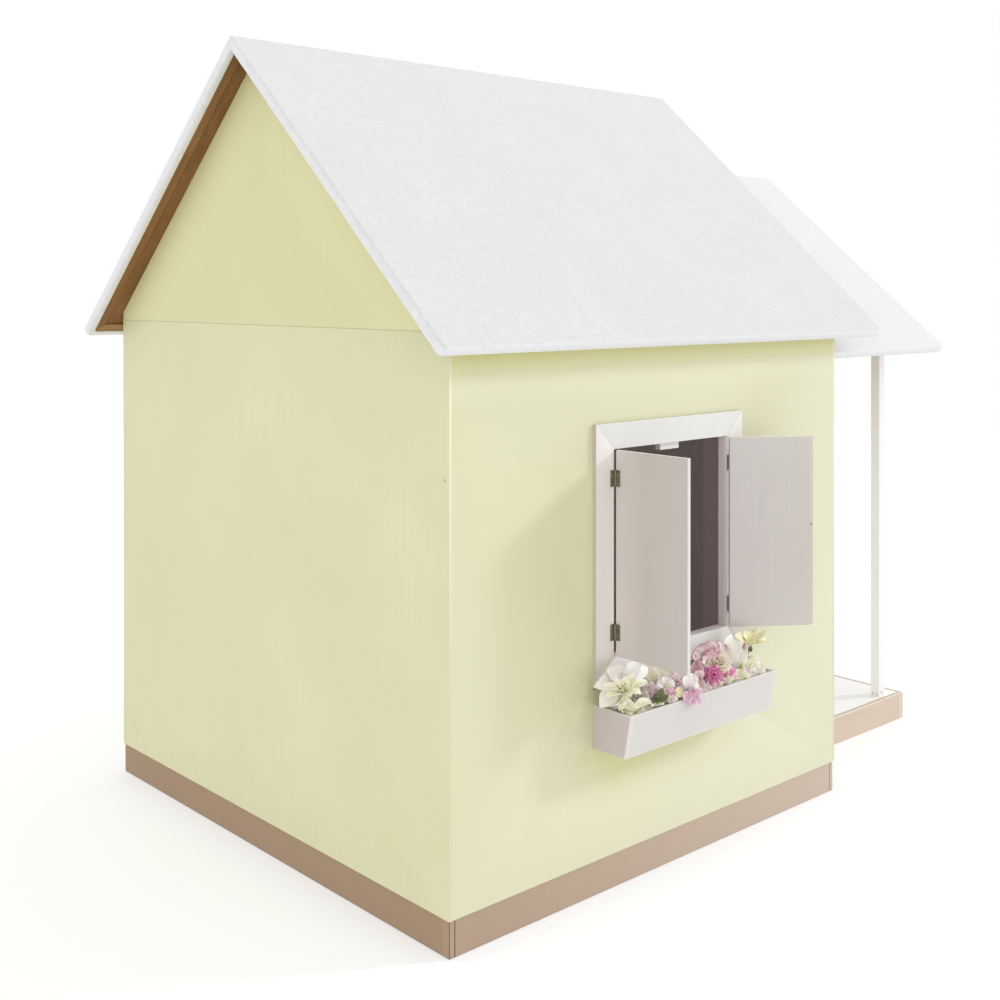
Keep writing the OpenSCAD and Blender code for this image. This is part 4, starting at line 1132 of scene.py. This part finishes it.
for at, along, size, width, c0, c1 in [
    ((-804, -168, 440), (-0.35, 0.1, 0.9), 36, 17, OLIVE, LIME),
    ((-806, -196, 436), (-0.4, -0.1, 0.9), 38, 15, LIME, YELLOW),
    ((-800, -222, 432), (-0.5, -0.4, 0.7), 32, 13, LIME, YELLOW),
    ((-788, 20, 478), (-0.2, 0.2, 1.0), 26, 12, MAUVE, BLUSH),
    ((-776, 96, 484), (-0.2, 0.1, 1.0), 22, 8, LIME, CREAM),
]:
    buds.bud(vec(*at), Vector(along), size * MM, width * MM, c0, c1)
    stem(stems, vec(at[0] + 6, at[1] * 0.97, 396), vec(*at), 1.3)

# One broad dark leaf near the middle, smaller pale ones among the stems
aimed(greens, (-820, 176, 450), (-0.2, -0.88, 0.28), OUTWARD, 44, 30, ROUND, lin(66, 70, 34),
      lin(98, 104, 58), lin(118, 124, 80), lift=14, droop=-28, ruffle=0.08, fold=0.35)
aimed(greens, (-822, 148, 440), (-0.1, -0.8, 0.1), OUTWARD, 34, 14, POINTED, DARK_GREEN, OLIVE, OLIVE,
      fold=0.4)
for k in range(22):
    y = 246 - 492 * (k + rng.uniform(0.1, 0.9)) / 22
    along = Vector((rng.uniform(-0.9, 0.2), rng.uniform(-0.8, 0.8), rng.uniform(0.25, 0.9)))
    leaf(greens, vec(rng.uniform(-818, -752), y, rng.uniform(398, 420)), along, rng.uniform(34, 54) * MM,
         rng.uniform(12, 20) * MM, rng.uniform(-0.8, 0.8), blend_tint(GREEN, OLIVE, rng.uniform(0.0, 0.8)),
         blend_tint(OLIVE, LIME, rng.uniform(0.2, 1.0)), droop=rng.uniform(-50, 5))
for at in [(-768, 222, 498), (-802, 246, 478), (-812, 258, 484), (-772, 122, 452), (-796, 206, 460),
           (-800, 164, 454), (-802, 108, 462), (-806, 74, 464), (-770, 52, 472), (-832, 62, 458),
           (-782, -66, 486),
           (-802, -84, 478), (-812, -52, 460), (-818, -92, 446), (-782, -150, 446), (-788, -229, 496),
           (-786, -212, 474), (-792, -20, 498)]:
    stem(stems, vec(max(-815, at[0]) + 8, at[1] * 0.94, 396), vec(*at), 1.6,
         blend_tint(STEM_GREEN, STEM_BROWN, rng.uniform(0, 1)), (rng.uniform(-6, 6), rng.uniform(-8, 8), 0))
# A thin dark stem above the cream petals, a bare twig at the far left, and the broad leaf's stem
stem(stems, vec(-784, 98, 440), vec(-784, 96, 505), 1.0, STEM_BROWN, (0, 2, 0))
stem(stems, vec(-764, 240, 492), vec(-754, 300, 488), 1.1, STEM_BROWN, (0, 3, -3))
stem(stems, vec(-808, 222, 452), vec(-814, 188, 447), 1.7, STEM_BROWN, (-2, 0, 3))

lilies.finish("flower_lilies", PETAL)
roses.finish("flower_roses", PETAL)
orchids.finish("flower_orchids", PETAL)
buds.finish("flower_buds", PETAL, thickness=0.0)
greens.finish("flower_leaves", LEAF)
stems.finish("flower_stems", LEAF, thickness=0.0)

# ---------------------------------------------------------------- floor


def studio_floor():
    """A plain pale floor, just under the object."""
    size, cells = 9.0, 24
    points, faces = [], []
    for i in range(cells + 1):
        for j in range(cells + 1):
            points.append((size * (2 * i / cells - 1), size * (2 * j / cells - 1), -0.0008))
    for i in range(cells):
        for j in range(cells):
            a = i * (cells + 1) + j
            faces.append((a, a + cells + 1, a + cells + 2, a + 1))
    s = Shade("studio_floor", 0.9, specular=0.1)
    s.bsdf.inputs["Base Color"].default_value = (0.62, 0.62, 0.62, 1.0)
    s.bsdf.inputs["Emission Color"].default_value = (1.0, 1.0, 1.0, 1.0)
    s.bsdf.inputs["Emission Strength"].default_value = 0.42
    s.normal(s.bump(s.noise(s.place, 40.0, 3.0), 0.0002, 0.3))
    ob = make_object("studio_floor", points, faces, s.material)


studio_floor()
